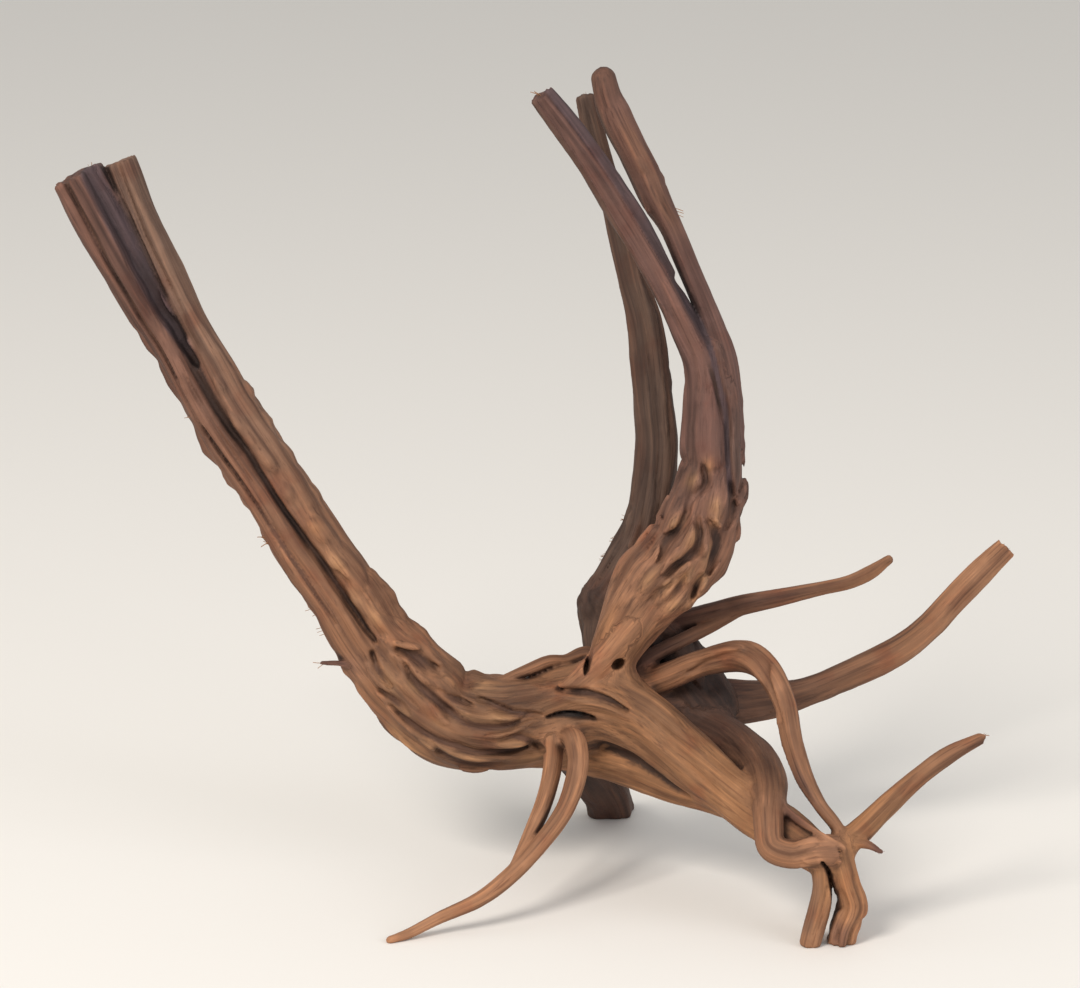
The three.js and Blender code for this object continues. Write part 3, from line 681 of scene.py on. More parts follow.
def nearest_on_grid(limb):
    """For the cells near a limb: their indices and the nearest sample of its line."""
    line = limb["line"]
    first = np.maximum(cell_of(line["at"].min(0) - limb["reach"]), 0)
    last = np.minimum(cell_of(line["at"].max(0) + limb["reach"]) + 1, shape)
    best = np.full(last - first, np.inf, np.float32)
    which = np.zeros(last - first, np.int16)
    for start in range(0, len(line["at"]), CHUNK):
        part = np.arange(start, min(start + CHUNK, len(line["at"])))
        reach = line["radius"][part].max() * max(1, limb.get("depth", 1.0)) + BAND
        a = np.maximum(cell_of(line["at"][part].min(0) - reach), first)
        b = np.minimum(cell_of(line["at"][part].max(0) + reach) + 1, last)
        axes = [low[k] + (np.arange(a[k], b[k]) + 0.5) * CELL for k in range(3)]
        box = tuple(slice(a[k] - first[k], b[k] - first[k]) for k in range(3))
        here, index = best[box], which[box]
        for i in part:
            x, y, z = line["at"][i]
            gap = ((axes[0] - x) ** 2)[:, None, None] + ((axes[1] - y) ** 2)[:, None] + (axes[2] - z) ** 2
            closer = gap < here
            here[closer] = gap[closer]
            index[closer] = i
    cells = np.argwhere(best < limb["reach"] ** 2)
    return cells + first, which[tuple(cells.T)]


for limb in LIMBS.values():
    cells, nearest = nearest_on_grid(limb)
    points = low + (cells + 0.5) * CELL
    distance, c = limb_distance(limb, points, nearest)
    at_base, along_strand, over = limb["melt"]
    melt = at_base + (along_strand - at_base) * eased_step(c["along"], 0.3 * over, over)
    spot = tuple(cells.T)
    field[spot] = smooth_minimum(field[spot], distance, melt)
wood_cells = int((field < 0).sum())
print("cells", field.size, "inside", wood_cells, "volume cm3", round(wood_cells * CELL**3 / 1000))

# %% [markdown]
# ## Cracks and grooves
# A crack is open: its two walls close towards its floor, and it is cut out of the field. A groove
# is a soft valley between two folds, so the field only sinks along it, with a slight rim on both
# sides. Both follow lines of stations that lie on the skin, and most have a tone of their own, which
# is partly the stain in it and partly painted shade in the valley.

# %% Tables of cracks and grooves
# cracks: depth in mm, how fast the walls close, tone, stations x, y, z and half width in mm
CRACKS = {
    "left_trough": (5.5, 0.35, "plum", [(-155.5, -6, 259, 2.8), (-145.4, -6, 238, 2.8),
        (-139.3, -5, 226, 2.7), (-133.9, -4, 214, 2.5), (-129, -3.5, 204, 2.2), (-123, -3, 193.7, 1.8),
        (-116.9, -2, 183, 1.4)]),
    # the slit's near-black tone is painted shade inside it
    "slit": (6, 1, "slit_shade_black", [(2, -13.5, 60.6, 0.6), (5.5, -14, 61.7, 1.2), (9.5, -15, 62.3, 1.5),
        (14.5, -15.5, 62, 1.3), (18.5, -16, 61, 0.6)]),
    "leg_slit": (6, 1, None, [(15.7, -8.5, 77.5, 0.6), (16.6, -8.2, 81, 1), (17.6, -7.5, 85, 0.6)]),
    "foot_split": (6, 1, None, [(93.1, -74, 30.5, 0.6), (96.2, -71.5, 23.7, 1), (97.7, -71, 17.1, 1.1),
        (97.2, -71, 11, 1.1), (95.9, -71, 6.6, 0.8)]),
}
# grooves: how much the skin sinks in mm, tone, stations as above
GROOVES = {
    "left_split": (2.4, "stain_and_shade_brown", [(-118.5, -3, 186, 1.4), (-111.4, -4, 172, 1.1), (-98.9, -5, 151.8, 0.9),
        (-91.6, -5, 139.5, 0.9), (-83.2, -5, 126.4, 0.8), (-75.5, -6, 115.7, 0.8), (-68, -6, 104, 0.8),
        (-61.8, -7, 94.8, 0.8), (-57, -9, 87.5, 0.6)]),
    "left_split_second": (3, "stain_and_shade_brown", [(-120.4, -5, 186, 0.6), (-113.6, -5, 173.2, 0.8),
        (-108, -5, 163.8, 0.8), (-101.4, -5, 154.4, 0.6)]),
    "left_band": (1.6, "umber", [(-161, -6, 251, 0.7), (-149.2, -6, 227.8, 0.7), (-138.1, -5, 205.9, 0.7),
        (-122.6, -5, 178.4, 0.5)]),
    "left_low": (1.4, "umber", [(-113.7, -6, 161.2, 0.5), (-100.8, -6, 142, 0.7), (-92.2, -6, 127.9, 0.7),
        (-82.2, -7, 112.3, 0.7), (-70.3, -9, 94.3, 0.5)]),
    "upright_split": (4, "plum", [(46, -1, 212, 1.3), (49.3, -2, 205.5, 1.2), (55.1, -3, 194.5, 1.1),
        (58.5, -4, 185.8, 1), (60.7, -4, 176.4, 0.9), (62.8, -5, 167.9, 0.9), (63.6, -6, 154.2, 0.9),
        (64.7, -8, 140.5, 0.8), (65.5, -10, 130.9, 0.6)]),
    "upright_split_second": (2, "stain_and_shade_brown", [(56.8, -5, 184.6, 0.5), (59.3, -5, 176.6, 0.7),
        (61.8, -6, 164.5, 0.5)]),
    # the dark tone of the valley between the lower root and the trunk is painted shade
    "root_valley": (1.5, "stain_and_shade_brown", [(12, -13, 49, 1), (22, -15, 49, 1.8), (32, -17, 46.5, 2),
        (42, -20, 42.5, 1.8), (52, -26, 38, 1)]),
    "crown_a": (4, "umber", [(-46.4, -10.5, 79.4, 0.7), (-44, -12, 75.5, 1.2), (-41.5, -13.4, 72.7, 1.5),
        (-35.4, -13.4, 67.4, 1.6), (-29.2, -13.4, 62, 1.4), (-23, -14.5, 58.7, 1.4),
        (-16.8, -15.3, 58.6, 1.2), (-10.3, -14.8, 59.2, 1.1), (-4.5, -13.2, 60.8, 0.7)]),
    "crown_b": (4.5, "umber", [(-48.8, -10.4, 84.7, 0.7), (-44.6, -10.5, 82.6, 1.6),
        (-39.9, -10.4, 79.7, 2), (-35.5, -8.1, 77.6, 0.8)]),
    "crown_c": (3.5, "umber", [(-50.9, -13.3, 64.8, 0.6), (-47.8, -13.4, 61.9, 1.1),
        (-41.7, -12.8, 56.9, 1.3), (-35.5, -13, 53.5, 1.2), (-29.3, -13, 51, 1.2),
        (-23.8, -13.2, 48.9, 1.2), (-16.9, -13.4, 48.6, 1.1), (-10.7, -13, 48.8, 1),
        (-4.8, -13.1, 50.7, 0.6)]),
    "crown_d": (3, "umber", [(-54.7, -10.6, 70.4, 0.6), (-49.9, -12.1, 67.3, 1.2),
        (-45.4, -12.6, 63.1, 0.7)]),
    "crown_e": (2.5, "umber", [(-20.7, -10.5, 66.5, 0.6), (-13.8, -11.7, 64.3, 1), (-6.9, -12.6, 62.4, 1),
        (0, -12.1, 61.5, 0.6)]),
    "crown_f": (3, "umber", [(6.9, -9.7, 70.2, 0.6), (12, -11.8, 70.1, 1.2), (17.2, -13.5, 69.9, 1.2),
        (23.7, -15.8, 68.1, 1.1), (29.1, -17.9, 65.5, 0.6)]),
    "crown_g": (3, "umber", [(-57.8, -9.1, 82.6, 0.6), (-55, -10.2, 76.8, 1.2),
        (-51.6, -11.4, 72.8, 0.7)]),
    "crown_h": (2.5, "umber", [(-37.9, -12.2, 52.2, 0.6), (-31.8, -13, 47, 1.1), (-24.2, -12.5, 44.1, 1.1),
        (-13.8, -13.6, 44, 0.6)]),
    "crown_i": (2.5, "umber", [(-34.4, -12.6, 71, 0.6), (-29.3, -12, 67.2, 1.1), (-24.1, -11.5, 65, 0.6)]),
    "crown_j": (2.5, "umber", [(-13.8, -15.4, 53.9, 0.6), (-8.6, -15.6, 55.1, 1.1),
        (-3.4, -13.9, 53.1, 1.1), (0.3, -12.5, 50.3, 0.6)]),
    "base_a": (3, "umber", [(55.8, -5.5, 147.8, 0.6), (56.5, -6.5, 142.4, 1.3), (53.5, -5.8, 138.4, 0.7)]),
    "base_b": (3, "umber", [(50.1, -8, 132.4, 0.7), (47.1, -9, 126.7, 1.3), (43.7, -9.8, 122.8, 1.2),
        (41.3, -10, 117, 0.7)]),
    "base_c": (3.5, "umber", [(53.8, -9.4, 130.5, 0.7), (54.5, -10.6, 125.6, 1.2),
        (53.1, -11.6, 120.9, 1.3), (49.7, -12.5, 118, 1.3), (46, -12.1, 115.1, 1.1),
        (43.3, -11.7, 112.1, 0.6)]),
    "base_d": (4, "stain_and_shade_brown", [(57.9, -8.8, 129.3, 0.8), (59.3, -9, 125.9, 1.5), (60.8, -8, 121.1, 1.6),
        (59.2, -8.5, 116, 1.4), (57.8, -8.8, 112, 0.7)]),
    "base_e": (3, "umber", [(54.7, -9.5, 110.1, 0.7), (53.4, -9.1, 107.1, 1.2), (51.7, -9, 103.2, 0.7)]),
    "base_f": (2.5, "umber", [(43.7, -13.3, 107.9, 0.6), (40.9, -13, 105.5, 1.2),
        (38.3, -11, 102.1, 0.7)]),
    "base_g": (2.5, "umber", [(49.2, -11.1, 110.5, 0.6), (47.2, -10.8, 106.2, 1.2),
        (44.8, -10.3, 102.5, 0.7)]),
    "base_h": (3, "umber", [(64.8, -4.7, 141, 0.6), (65.6, -4, 134.3, 1.2), (65.4, -4, 129.7, 1.2),
        (63.6, -4.8, 126.5, 0.6)]),
    "arch_groove": (2, None, [(51.9, -3.4, 74.7, 0.6), (60.2, -9, 80.7, 1), (68.3, -17.5, 84.3, 1),
        (74, -25, 82.7, 1), (77.8, -31.3, 76.8, 0.9), (80.9, -39, 68.6, 0.6)]),
}
cracks = [dict(deep=deep, taper=taper, tone=tone, stations=stations)
          for deep, taper, tone, stations in CRACKS.values()]
grooves = [dict(deep=deep, tone=tone, stations=stations) for deep, tone, stations in GROOVES.values()]
print("cracks", len(cracks), "grooves", len(grooves))

# %% Cut them into the field
CRACK_OPEN = 7.0
CRACK_SOFT = 0.6
SINK = 0.7
RIM = 0.3


def smooth_maximum(a, b, k):
    """The higher of two distances, rounded off over k millimetres."""
    return -smooth_minimum(-a, -b, k)


def near_line(crack):
    """For the cells near a crack or groove: their indices and coordinates, and how far past its ends."""
    crack["line"] = centre_line(crack["stations"])
    crack["reach"] = CRACK_OPEN + 1
    cells, nearest = nearest_on_grid(crack)
    points = low + (cells + 0.5) * CELL
    c = limb_coordinates(crack, points, nearest)
    c["past"] = np.maximum(-c["along"], 0) + np.maximum(c["along"] - crack["line"]["along"][-1], 0)
    c["x"] = c["x"] + 0.6 * rough(*(points.T / 7)) * np.minimum(c["radius"], 1)
    return tuple(cells.T), c


for groove in grooves:
    spot, c = near_line(groove)
    off_skin = (c["y"] / 5) ** 4
    off_end = (c["past"] / 1.5) ** 2
    valley = np.exp(-((c["x"] / (1.25 * c["radius"])) ** 2) - off_skin - off_end)
    rim = np.exp(-(((np.abs(c["x"]) - 2.4 * c["radius"]) / c["radius"]) ** 2) - off_skin - off_end)
    field[spot] = field[spot] + SINK * groove["deep"] * (valley - RIM * rim)
for crack in cracks:
    spot, c = near_line(crack)
    # y is how far out of the wood a point lies: the crack closes inwards and opens outwards
    half = c["radius"] * np.minimum(1 + crack["taper"] * c["y"] / crack["deep"], 1.4)
    slope = np.hypot(1, c["radius"] / crack["deep"])
    wall = np.maximum((np.abs(c["x"]) - half) / slope, -c["y"] - crack["deep"]) + 0.5 * c["past"]
    field[spot] = smooth_maximum(field[spot], -wall, CRACK_SOFT)
print("inside now", int((field < 0).sum()), "cells")

# %% Hollows, and the ground that worn roots stand on
# centre and half sizes in mm, and the turn in degrees as seen from the front
HOLLOWS = [((10, -15, 61.9), (9, 4, 1.5), 0), ((26.5, -8, 79.5), (2.6, 4, 2.2), 20)]

axes = [low[k] + (np.arange(shape[k]) + 0.5) * CELL for k in range(3)]
for centre, half, degrees in HOLLOWS:
    centre = np.array(centre) - MIDDLE
    x = (axes[0] - centre[0])[:, None, None]
    y = (axes[1] - centre[1])[:, None]
    z = axes[2] - centre[2]
    turn = math.radians(degrees)
    u = (x * math.cos(turn) + z * math.sin(turn)) / half[0]
    w = (z * math.cos(turn) - x * math.sin(turn)) / half[2]
    ball = (np.sqrt(u**2 + (y / half[1]) ** 2 + w**2) - 1) * min(half)
    field = np.maximum(field, -ball.astype(np.float32))
field = np.maximum(field, -axes[2].astype(np.float32))
print("lowest cell with wood, mm:", round(float(axes[2][np.where((field < 0).any((0, 1)))[0][0]]), 2))

# %% [markdown]
# ## From the field to a mesh
# The zero surface of the field is the skin. The grid gives several hundred thousand even faces,
# far more than smooth stretches need, so the mesh is thinned until it has just under 200,000
# triangles: faces go where the surface is smooth and stay where it is crisp.

# %% Read out the skin
MOST_TRIANGLES = 196_000

grid = openvdb.FloatGrid(3 * CELL)
grid.copyFromArray(np.clip(field, -3 * CELL, 3 * CELL))
points, quads = grid.convertToQuads(0)
points = (low + (points + 0.5) * CELL) * MM
raw = new_mesh_object("skin", points, quads)
print("grid skin: points", len(points), "quads", len(quads))

# %% Thin it, and drop loose scraps
def keep_largest(points, faces):
    """The triangles of the largest connected body, and its points, renumbered."""
    label = np.arange(len(points))
    while True:
        lowest = label[faces].min(1)
        new = label.copy()
        for k in range(faces.shape[1]):
            np.minimum.at(new, faces[:, k], lowest)
        new = new[new]
        if (new == label).all():
            break
        label = new
    names, counts = np.unique(label, return_counts=True)
    keep = label == names[counts.argmax()]
    renumber = np.cumsum(keep) - 1
    return points[keep], renumber[faces[keep[faces[:, 0]]]], len(names)


def thinned(made, ratio):
    """Points and triangles of an object after a collapse to a share of its faces."""
    slim = made.modifiers.new("thin", "DECIMATE")
    slim.ratio = ratio
    slim.use_collapse_triangulate = True
    mesh = bpy.data.meshes.new_from_object(made.evaluated_get(bpy.context.evaluated_depsgraph_get()))
    points = np.zeros(len(mesh.vertices) * 3, np.float32)
    mesh.vertices.foreach_get("co", points)
    mesh.calc_loop_triangles()
    faces = np.zeros(len(mesh.loop_triangles) * 3, np.int32)
    mesh.loop_triangles.foreach_get("vertices", faces)
    bpy.data.meshes.remove(mesh)
    return points.reshape(-1, 3), faces.reshape(-1, 3)


points, faces = thinned(raw, min(1, MOST_TRIANGLES / (2 * len(quads))))
bpy.data.objects.remove(raw)
points, faces, bodies = keep_largest(points, faces)
corner = points[faces]
volume = np.einsum("ij,ij->i", corner[:, 0], np.cross(corner[:, 1], corner[:, 2])).sum() / 6
if volume < 0:
    faces = faces[:, ::-1]
root = new_mesh_object("root_wood", points, faces)
root.data.polygons.foreach_set("use_smooth", [True] * len(faces))
print("triangles", len(faces), "bodies found", bodies, "volume cm3", round(abs(volume) * 1e6))

# %% [markdown]
# ## What the finish needs to know
# The finish asks four things of each point: which way the grain runs and how far along, what tone
# that limb has, how deep in a crevice it lies, and how much it stands proud. The limb formulas
# and the field of distances answer all four, so they are stored on the mesh.

# %% Grain coordinates and tones on the mesh
# The darkest brown paints shade under the trunk, on the back stump and collar and in valleys, with some
# stain in grooves; the near-black one is painted shade in the slit, and the palest is rubbed wear with a
# painted highlight on knobs.
TONES = {"tan": "#7C573F", "pale": "#8A6247", "grey_tan": "#6E5445", "rust": "#5C4036", "umber": "#4B3328",
         "amber": "#875F40", "brown": "#5E4230", "mauve": "#5C413A", "walnut": "#513E34", "plum": "#443639",
         "stain_and_shade_brown": "#32211A", "slit_shade_black": "#150D0A", "rubbed_and_highlit": "#9C7553"}
TONES = {name: np.array(linear(code)[:3]) for name, code in TONES.items()}
BLEND = 1.3
BLEND_REACH = 6
LANE_SHIFT = 90
LOBE_WEAR_AND_HIGHLIGHT_SHARE = 0.55
CRACK_SHARE = 0.9
BATCH = 20_000

verts = points / MM
count = len(verts)
total = np.zeros(count)
tint = np.zeros((count, 3))
lane_weight = np.zeros((2, count))
lane_best = np.full((2, count), np.inf)
lane_grain = np.zeros((2, count, 3))


def nearest_sample(line, reach):
    """The mesh points within reach of a line's box, and for each the nearest sample of the line."""
    inside = ((verts > line["at"].min(0) - reach) & (verts < line["at"].max(0) + reach)).all(1)
    chosen = np.flatnonzero(inside)
    nearest = np.empty(len(chosen), int)
    for start in range(0, len(chosen), BATCH):
        part = verts[chosen[start : start + BATCH]]
        gap = (part**2).sum(1)[:, None] - 2 * part @ line["at"].T + (line["at"] ** 2).sum(1)
        nearest[start : start + BATCH] = gap.argmin(1)
    return chosen, nearest


def towards(tone, name, share):
    """Tones moved by a share towards a named one."""
    return tone + share[:, None] * (TONES[name] - tone)


for limb in LIMBS.values():
    chosen, nearest = nearest_sample(limb["line"], limb["reach"])
    distance, c = limb_distance(limb, verts[chosen], nearest)
    distance = np.maximum(distance, -1)
    near = distance < BLEND_REACH
    chosen, distance = chosen[near], distance[near]
    c = {key: value[near] for key, value in c.items()}
    weight = np.exp(-distance / BLEND)
    base, tip = limb["tones"]
    tone = towards(TONES[base], tip, eased_step(c["share"], 0.1, 0.9))
    for start, stop, degrees, half, stain, strength in limb.get("stains", []):
        shown = 1 - eased_step(np.abs(np.degrees(turned(c["angle"], degrees))) / half, 0.75, 1.15)
        tone = towards(tone, stain, strength * shown * faded(c["share"], start, stop, 0.04, 0.08))
    # lobe tops move towards a pale tone: rubbed wear with a painted highlight on the knobs
    for place, degrees, rise, wide, long in limb.get("lobes", []):
        u, v = oval(limb, c, place, degrees, wide, long)
        tone = towards(tone, "rubbed_and_highlit", LOBE_WEAR_AND_HIGHLIGHT_SHARE * np.exp(-2 * (u**2 + v**2)))
    tint[chosen] += weight[:, None] * tone
    total[chosen] += weight
    lane = limb["lane"]
    lane_weight[lane, chosen] += weight
    closer = distance < lane_best[lane, chosen]
    spots = chosen[closer]
    lane_best[lane, spots] = distance[closer]
    lane_grain[lane, spots] = np.stack([c["x"], c["y"], c["along"] + LANE_SHIFT * limb["number"]], 1)[closer]
tint /= np.maximum(total, 1e-9)[:, None]
# each crack and groove is tinted over its width: partly the stain in it, partly painted shade in the valley
for crack in cracks + grooves:
    if crack["tone"] is None:
        continue
    chosen, nearest = nearest_sample(crack["line"], CRACK_OPEN)
    c = limb_coordinates(crack, verts[chosen], nearest)
    half_length = crack["line"]["along"][-1] / 2
    shown = 1 - eased_step(np.abs(c["x"]) / c["radius"], 0.8, 1.3)
    shown = shown * (c["y"] < 3) * eased_step(half_length - np.abs(c["along"] - half_length), -1, 6)
    tint[chosen] = towards(tint[chosen], crack["tone"], CRACK_SHARE * shown)
lane_mix = lane_weight[1] / np.maximum(lane_weight.sum(0), 1e-9)
print("points with no limb near:", int((total == 0).sum()))

# %% Crevices and proud edges: dust with painted shade, and wear with a painted highlight
# how far out or in the field is read, mm, and what each reading counts for
CREVICE_READINGS = ((1.2, 0.3), (2.5, 0.3), (5.0, 0.25), (7.5, 0.15))
PROUD_READING = 1.6

normals = np.zeros(count * 3, np.float32)
root.data.vertices.foreach_get("normal", normals)
normals = normals.reshape(-1, 3)


def field_at(places):
    """The field at places in mm, blended between the cells round each."""
    where = (places - low) / CELL - 0.5
    base = np.clip(np.floor(where).astype(int), 0, np.array(shape) - 2)
    part = np.clip(where - base, 0, 1)
    value = 0
    for corner in np.ndindex(2, 2, 2):
        weight = np.prod([part[:, k] if corner[k] else 1 - part[:, k] for k in range(3)], axis=0)
        value = value + weight * field[tuple((base + corner).T)]
    return value


# how closed in each point lies, read from the field; the finish darkens by it, as bark dust and as painted
# shade
crevice_dust_and_shade = np.zeros(count)
for reach, share in CREVICE_READINGS:
    crevice_dust_and_shade += share * np.clip(1 - field_at(verts + normals * reach) / reach, 0, 1)
# how thin the wood is under each point; the finish lightens by it, as rubbed wear and as a painted highlight
proud_wear_and_highlight = np.clip(1 + field_at(verts - normals * PROUD_READING) / PROUD_READING, 0, 1)

edges = np.zeros(len(root.data.edges) * 2, np.int32)
root.data.edges.foreach_get("vertices", edges)
one, other = edges.reshape(-1, 2).T
neighbours = np.bincount(edges, minlength=count)


def evened(values):
    """Each point's value, half its own and half the mean of its neighbours'."""
    around = np.bincount(one, values[other], count) + np.bincount(other, values[one], count)
    return 0.5 * values + 0.5 * around / np.maximum(neighbours, 1)


crevice_dust_and_shade = evened(evened(crevice_dust_and_shade))
proud_wear_and_highlight = evened(proud_wear_and_highlight)
print("crevice mean", round(float(crevice_dust_and_shade.mean()), 3), "proud mean", round(float(proud_wear_and_highlight.mean()), 3))


def store(mesh, name, kind, values):
    """Keeps one value per point on a mesh."""
    layer = mesh.attributes.new(name, kind, "POINT")
    key = {"FLOAT": "value", "FLOAT_VECTOR": "vector", "FLOAT_COLOR": "color"}[kind]
    layer.data.foreach_set(key, np.ascontiguousarray(values, np.float32).ravel())


store(root.data, "tint", "FLOAT_COLOR", np.concatenate([tint, np.ones((count, 1))], 1))
store(root.data, "grain_a", "FLOAT_VECTOR", lane_grain[0])
store(root.data, "grain_b", "FLOAT_VECTOR", lane_grain[1])
store(root.data, "lane", "FLOAT", lane_mix)
store(root.data, "crevice_dust_and_shade", "FLOAT", crevice_dust_and_shade)
store(root.data, "proud_wear_and_highlight", "FLOAT", proud_wear_and_highlight)
print("stored", [layer.name for layer in root.data.attributes if not layer.name.startswith(".")])

# %% [markdown]
# ## Finish: peeled and washed root wood
# The bark is gone, and water has raised the grain. The eye sees dull brown wood with fine dark
# lines along each limb, soft streaks of lighter and redder wood, nearly black crevices that are partly
# bark dust and partly painted shade, and paler ridges that are partly rubbed by handling and partly a
# painted highlight. There is no gloss except a faint sheen on rubbed ridges.

# %% Patterns in the wood, mm
FINE_ACROSS = 0.8
FINE_ALONG = 45.0
STREAK_ACROSS = 3.0
STREAK_ALONG = 90.0
MOTTLE = 14.0
SPECK = 1.6

wood = new_material("washed_root_wood")
tree = wood.node_tree
stored = {name: add(tree, "ShaderNodeAttribute", attribute_name=name).outputs
          for name in ("tint", "grain_a", "grain_b", "lane", "crevice_dust_and_shade", "proud_wear_and_highlight")}


def along_grain(across, along, detail, rough_share):
    """Noise stretched along the limb, which passes from one limb's grain to the next over a join."""
    values = []
    for name in ("grain_a", "grain_b"):
        placed = add(tree, "ShaderNodeMapping",
                     {"Vector": stored[name]["Vector"], "Scale": (1 / across, 1 / across, 1 / along)})
        noise = add(tree, "ShaderNodeTexNoise",
                    {"Vector": placed.outputs["Vector"], "Scale": 1.0, "Detail": detail,
                     "Roughness": rough_share, "Distortion": 0.15})
        values.append(noise.outputs["Fac"])
    return add(tree, "ShaderNodeMix", {0: stored["lane"]["Fac"], 2: values[0], 3: values[1]}).outputs[0]


fine = along_grain(FINE_ACROSS, FINE_ALONG, 3.0, 0.6)
streak = along_grain(STREAK_ACROSS, STREAK_ALONG, 2.0, 0.5)
place = add(tree, "ShaderNodeTexCoord").outputs["Object"]
blotches = add(tree, "ShaderNodeTexNoise", {"Vector": place, "Scale": 1 / (MOTTLE * MM), "Detail": 3.0})
specks = add(tree, "ShaderNodeTexNoise", {"Vector": place, "Scale": 1 / (SPECK * MM), "Detail": 2.0})
print("nodes for the patterns", len(tree.nodes))

# %% Washed root wood: dull brown, dark lines in the grain, dust and painted shade in crevices, rubbed ridges with a painted highlight
# pattern, where a layer starts, where it is full, how full, and the colour that it multiplies by
LAYERS = ((streak, 0.42, 0.68, 0.7, (1.55, 1.5, 1.42)),
          (streak, 0.5, 0.3, 0.75, (0.5, 0.44, 0.42)),
          (blotches.outputs["Fac"], 0.5, 0.75, 0.8, (0.86, 0.66, 0.6)),
          (blotches.outputs["Fac"], 0.48, 0.3, 0.7, (1.25, 1.3, 1.35)),
          (fine, 0.48, 0.3, 0.75, (0.48, 0.42, 0.4)),
          (fine, 0.52, 0.72, 0.7, (1.5, 1.45, 1.4)),
          # crevices go nearly black: bark dust and painted shade
          (stored["crevice_dust_and_shade"]["Fac"], 0.22, 0.8, 0.88, (0.13, 0.1, 0.1)),
          # proud ridges go paler: rubbed wear and a painted highlight
          (stored["proud_wear_and_highlight"]["Fac"], 0.15, 0.6, 0.6, (1.5, 1.5, 1.5)))
SPECK_RELIEF = 0.25
RELIEF = 0.35

base = stored["tint"]["Color"]
for pattern, start, full, most, colour in LAYERS:
    shown = add(tree, "ShaderNodeMapRange",
                {"Value": pattern, "From Min": start, "From Max": full, "To Min": 0.0, "To Max": most},
                interpolation_type="SMOOTHSTEP")
    layer = add(tree, "ShaderNodeMix", {0: shown.outputs["Result"], 6: base, 7: (*colour, 1)},
                data_type="RGBA", blend_type="MULTIPLY")
    base = layer.outputs[2]
height = add(tree, "ShaderNodeMath", {0: specks.outputs["Fac"], 1: SPECK_RELIEF, 2: fine},
             operation="MULTIPLY_ADD")
bump = add(tree, "ShaderNodeBump", {"Height": height.outputs[0], "Strength": 0.9, "Distance": RELIEF * MM})
roughness = add(tree, "ShaderNodeMapRange", {"Value": fine, "To Min": 0.62, "To Max": 0.86})
shader = add(tree, "ShaderNodeBsdfPrincipled",
             {"Base Color": base, "Roughness": roughness.outputs["Result"], "Normal": bump.outputs["Normal"],
              "Specular IOR Level": 0.35, "IOR": 1.53})
add(tree, "ShaderNodeOutputMaterial", {"Surface": shader.outputs["BSDF"]})
root.data.materials.append(wood)
print("nodes in the finish", len(tree.nodes))

# %% [markdown]
# ## Loose fibres
# Where the wood was torn or rubbed, single fibres stand off it: at the broken tips, along one edge
# of the back upright and at a few scars. One tapered strand is made once, and a node tree repeats
# it at every place, turned and scaled at random from a fixed seed. The eye sees pale dry straw.

# %% Places of the fibres
# x, y, z in mm, the way they point, how many, and how long in mm
FIBRE_PLACES = (
    ((-93.2, -4.4, 121.5), (-0.6, -0.5, 0.5), 7, 3), ((-78.4, -4.6, 97.3), (-0.9, -0.4, 0.1), 3, 2.2),
    ((-75.7, -5.6, 89.4), (-0.9, -0.4, -0.1), 3, 2), ((-119.2, -1.1, 163.9), (-0.7, -0.5, 0.5), 4, 2),
    ((-75, -10, 80), (-1, -0.2, 0.1), 2, 4), ((47.4, 9, 233.5), (0.9, -0.1, -0.4), 3, 3),
    ((-1, -8, 276), (-0.8, -0.2, 0.3), 4, 2.5), ((14.5, 26, 272), (-0.2, 0, 1), 3, 1.2),
    ((149, -46, 65), (0.9, 0, 0.4), 8, 1.8), ((113, -69, 32.5), (0.8, -0.2, -0.5), 2, 1.5),
    ((99, -74, 33), (0.5, -0.9, 0.1), 9, 1.6), ((166, 42, 107), (0.7, 0.1, 0.6), 4, 1),
    ((23.1, 25, 124.6), (-0.9, -0.1, 0.2), 7, 1.4), ((21, 25, 118.1), (-0.9, -0.1, 0), 9, 1.5),
    ((18.9, 25, 111.6), (-0.9, -0.1, -0.2), 9, 1.5), ((100, -70, 4), (0.2, -0.9, -0.3), 4, 1.6),
    ((-150.5, 3, 251), (0.1, -0.3, 0.9), 3, 1.5),
)
FIBRE_SPREAD = 1.0
FIBRE_SINK = 0.3
FIBRE_TURN = 0.22

draw = np.random.default_rng(7)
starts, headings, lengths = [], [], []
for place, heading, amount, long in FIBRE_PLACES:
    for _ in range(amount):
        target = np.array(place) - MIDDLE + draw.normal(0, FIBRE_SPREAD, 3)
        closest = ((verts - target) ** 2).sum(1).argmin()
        starts.append(verts[closest] - FIBRE_SINK * normals[closest])
        headings.append(np.array(heading) + 0.5 * normals[closest] + draw.normal(0, FIBRE_TURN, 3))
        lengths.append(long * draw.uniform(0.5, 1.15))
cloud = bpy.data.meshes.new("fibre_places")
cloud.vertices.add(len(starts))
cloud.vertices.foreach_set("co", (np.array(starts) * MM).astype(np.float32).ravel())
store(cloud, "heading", "FLOAT_VECTOR", np.array(headings))
store(cloud, "length", "FLOAT", np.array(lengths, np.float32) * MM)
strands = bpy.data.objects.new("loose_fibres", cloud)
bpy.context.scene.collection.objects.link(strands)
print("fibres", len(starts))

# %% The tree that grows a fibre at each place
FIBRE_SIDES = 5
FIBRE_STEPS = 6
FIBRE_THICK = 0.045
FIBRE_SEED = 5

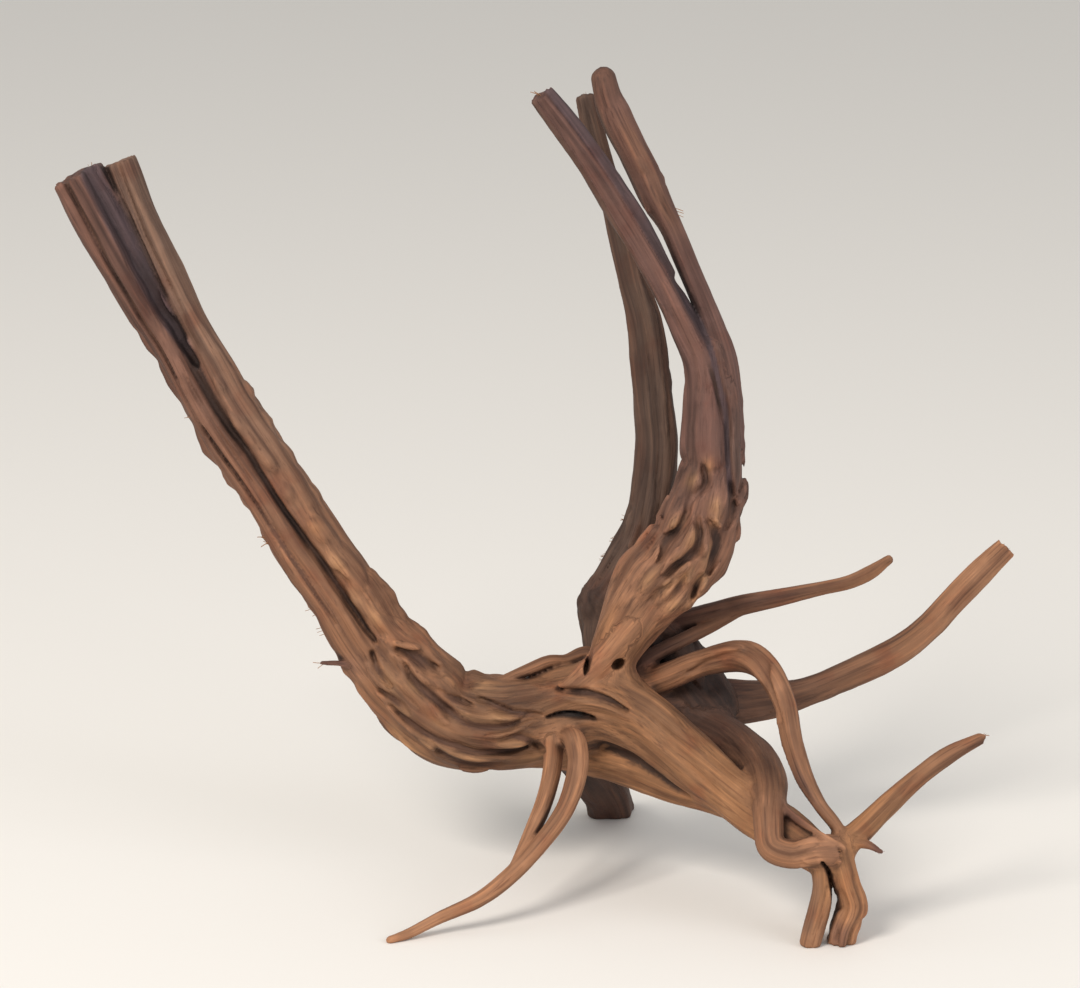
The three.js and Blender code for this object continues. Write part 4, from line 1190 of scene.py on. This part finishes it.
straw = plain_material("torn_fibre", "#9A7050", 0.8, 0.3)
grow = bpy.data.node_groups.new("fibres_at_points", "GeometryNodeTree")
GIVEN = {"Geometry": "Geometry", "Thickness": "Float", "Seed": "Int", "Material": "Material"}
for name, kind in GIVEN.items():
    grow.interface.new_socket(name=name, in_out="INPUT", socket_type="NodeSocket" + kind)
grow.interface.new_socket(name="Geometry", in_out="OUTPUT", socket_type="NodeSocketGeometry")
given = add(grow, "NodeGroupInput")
bow = add(grow, "GeometryNodeCurveQuadraticBezier",
          {"Resolution": FIBRE_STEPS, "Start": (0, 0, 0), "Middle": (0.02, 0, 0.55), "End": (0.14, 0.03, 1)})
share = add(grow, "GeometryNodeSplineParameter")
taper = add(grow, "ShaderNodeMapRange", {"Value": share.outputs["Factor"], "To Min": 1.0, "To Max": 0.12})
thinned_bow = add(grow, "GeometryNodeSetCurveRadius",
                  {"Curve": bow.outputs["Curve"], "Radius": taper.outputs["Result"]})
ring = add(grow, "GeometryNodeCurvePrimitiveCircle",
           {"Resolution": FIBRE_SIDES, "Radius": given.outputs["Thickness"]})
strand = add(grow, "GeometryNodeCurveToMesh",
             {"Curve": thinned_bow.outputs["Curve"], "Profile Curve": ring.outputs["Curve"],
              "Fill Caps": True})
roll = add(grow, "FunctionNodeRandomValue", {"Seed": given.outputs["Seed"], "Max": (0.0, 0.0, 2 * math.pi)},
           data_type="FLOAT_VECTOR")
heading = add(grow, "GeometryNodeInputNamedAttribute", {"Name": "heading"}, data_type="FLOAT_VECTOR")
turn = add(grow, "FunctionNodeAlignRotationToVector",
           {"Rotation": roll.outputs["Value"], "Vector": heading.outputs["Attribute"]}, axis="Z")
size = add(grow, "GeometryNodeInputNamedAttribute", {"Name": "length"}, data_type="FLOAT")
placed = add(grow, "GeometryNodeInstanceOnPoints",
             {"Points": given.outputs["Geometry"], "Instance": strand.outputs["Mesh"],
              "Rotation": turn.outputs["Rotation"], "Scale": size.outputs["Attribute"]})
real = add(grow, "GeometryNodeRealizeInstances", {"Geometry": placed.outputs["Instances"]})
dressed = add(grow, "GeometryNodeSetMaterial",
              {"Geometry": real.outputs["Geometry"], "Material": given.outputs["Material"]})
add(grow, "NodeGroupOutput", {"Geometry": dressed.outputs["Geometry"]})

grower = strands.modifiers.new("grow", "NODES")
grower.node_group = grow
for name, value in (("Thickness", FIBRE_THICK), ("Seed", FIBRE_SEED), ("Material", straw)):
    grower[grow.interface.items_tree[name].identifier] = value
solid = bpy.data.meshes.new_from_object(strands.evaluated_get(bpy.context.evaluated_depsgraph_get()))
strands.modifiers.clear()
strands.data = solid
strands.data.polygons.foreach_set("use_smooth", [True] * len(solid.polygons))
solid.materials.clear()
solid.materials.append(straw)
print("fibre faces", len(solid.polygons), "material", [m.name for m in solid.materials])

# %% [markdown]
# ## Tie the wood to the frame
# Both pieces ride on the one body of the frame and take the place of its plain solid.

# %% Tie the wood and the fibres to the frame
for part in (root, strands):
    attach(part, "root")
    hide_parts("spiderwood_root")
print("pieces", [part.name for part in (root, strands)])
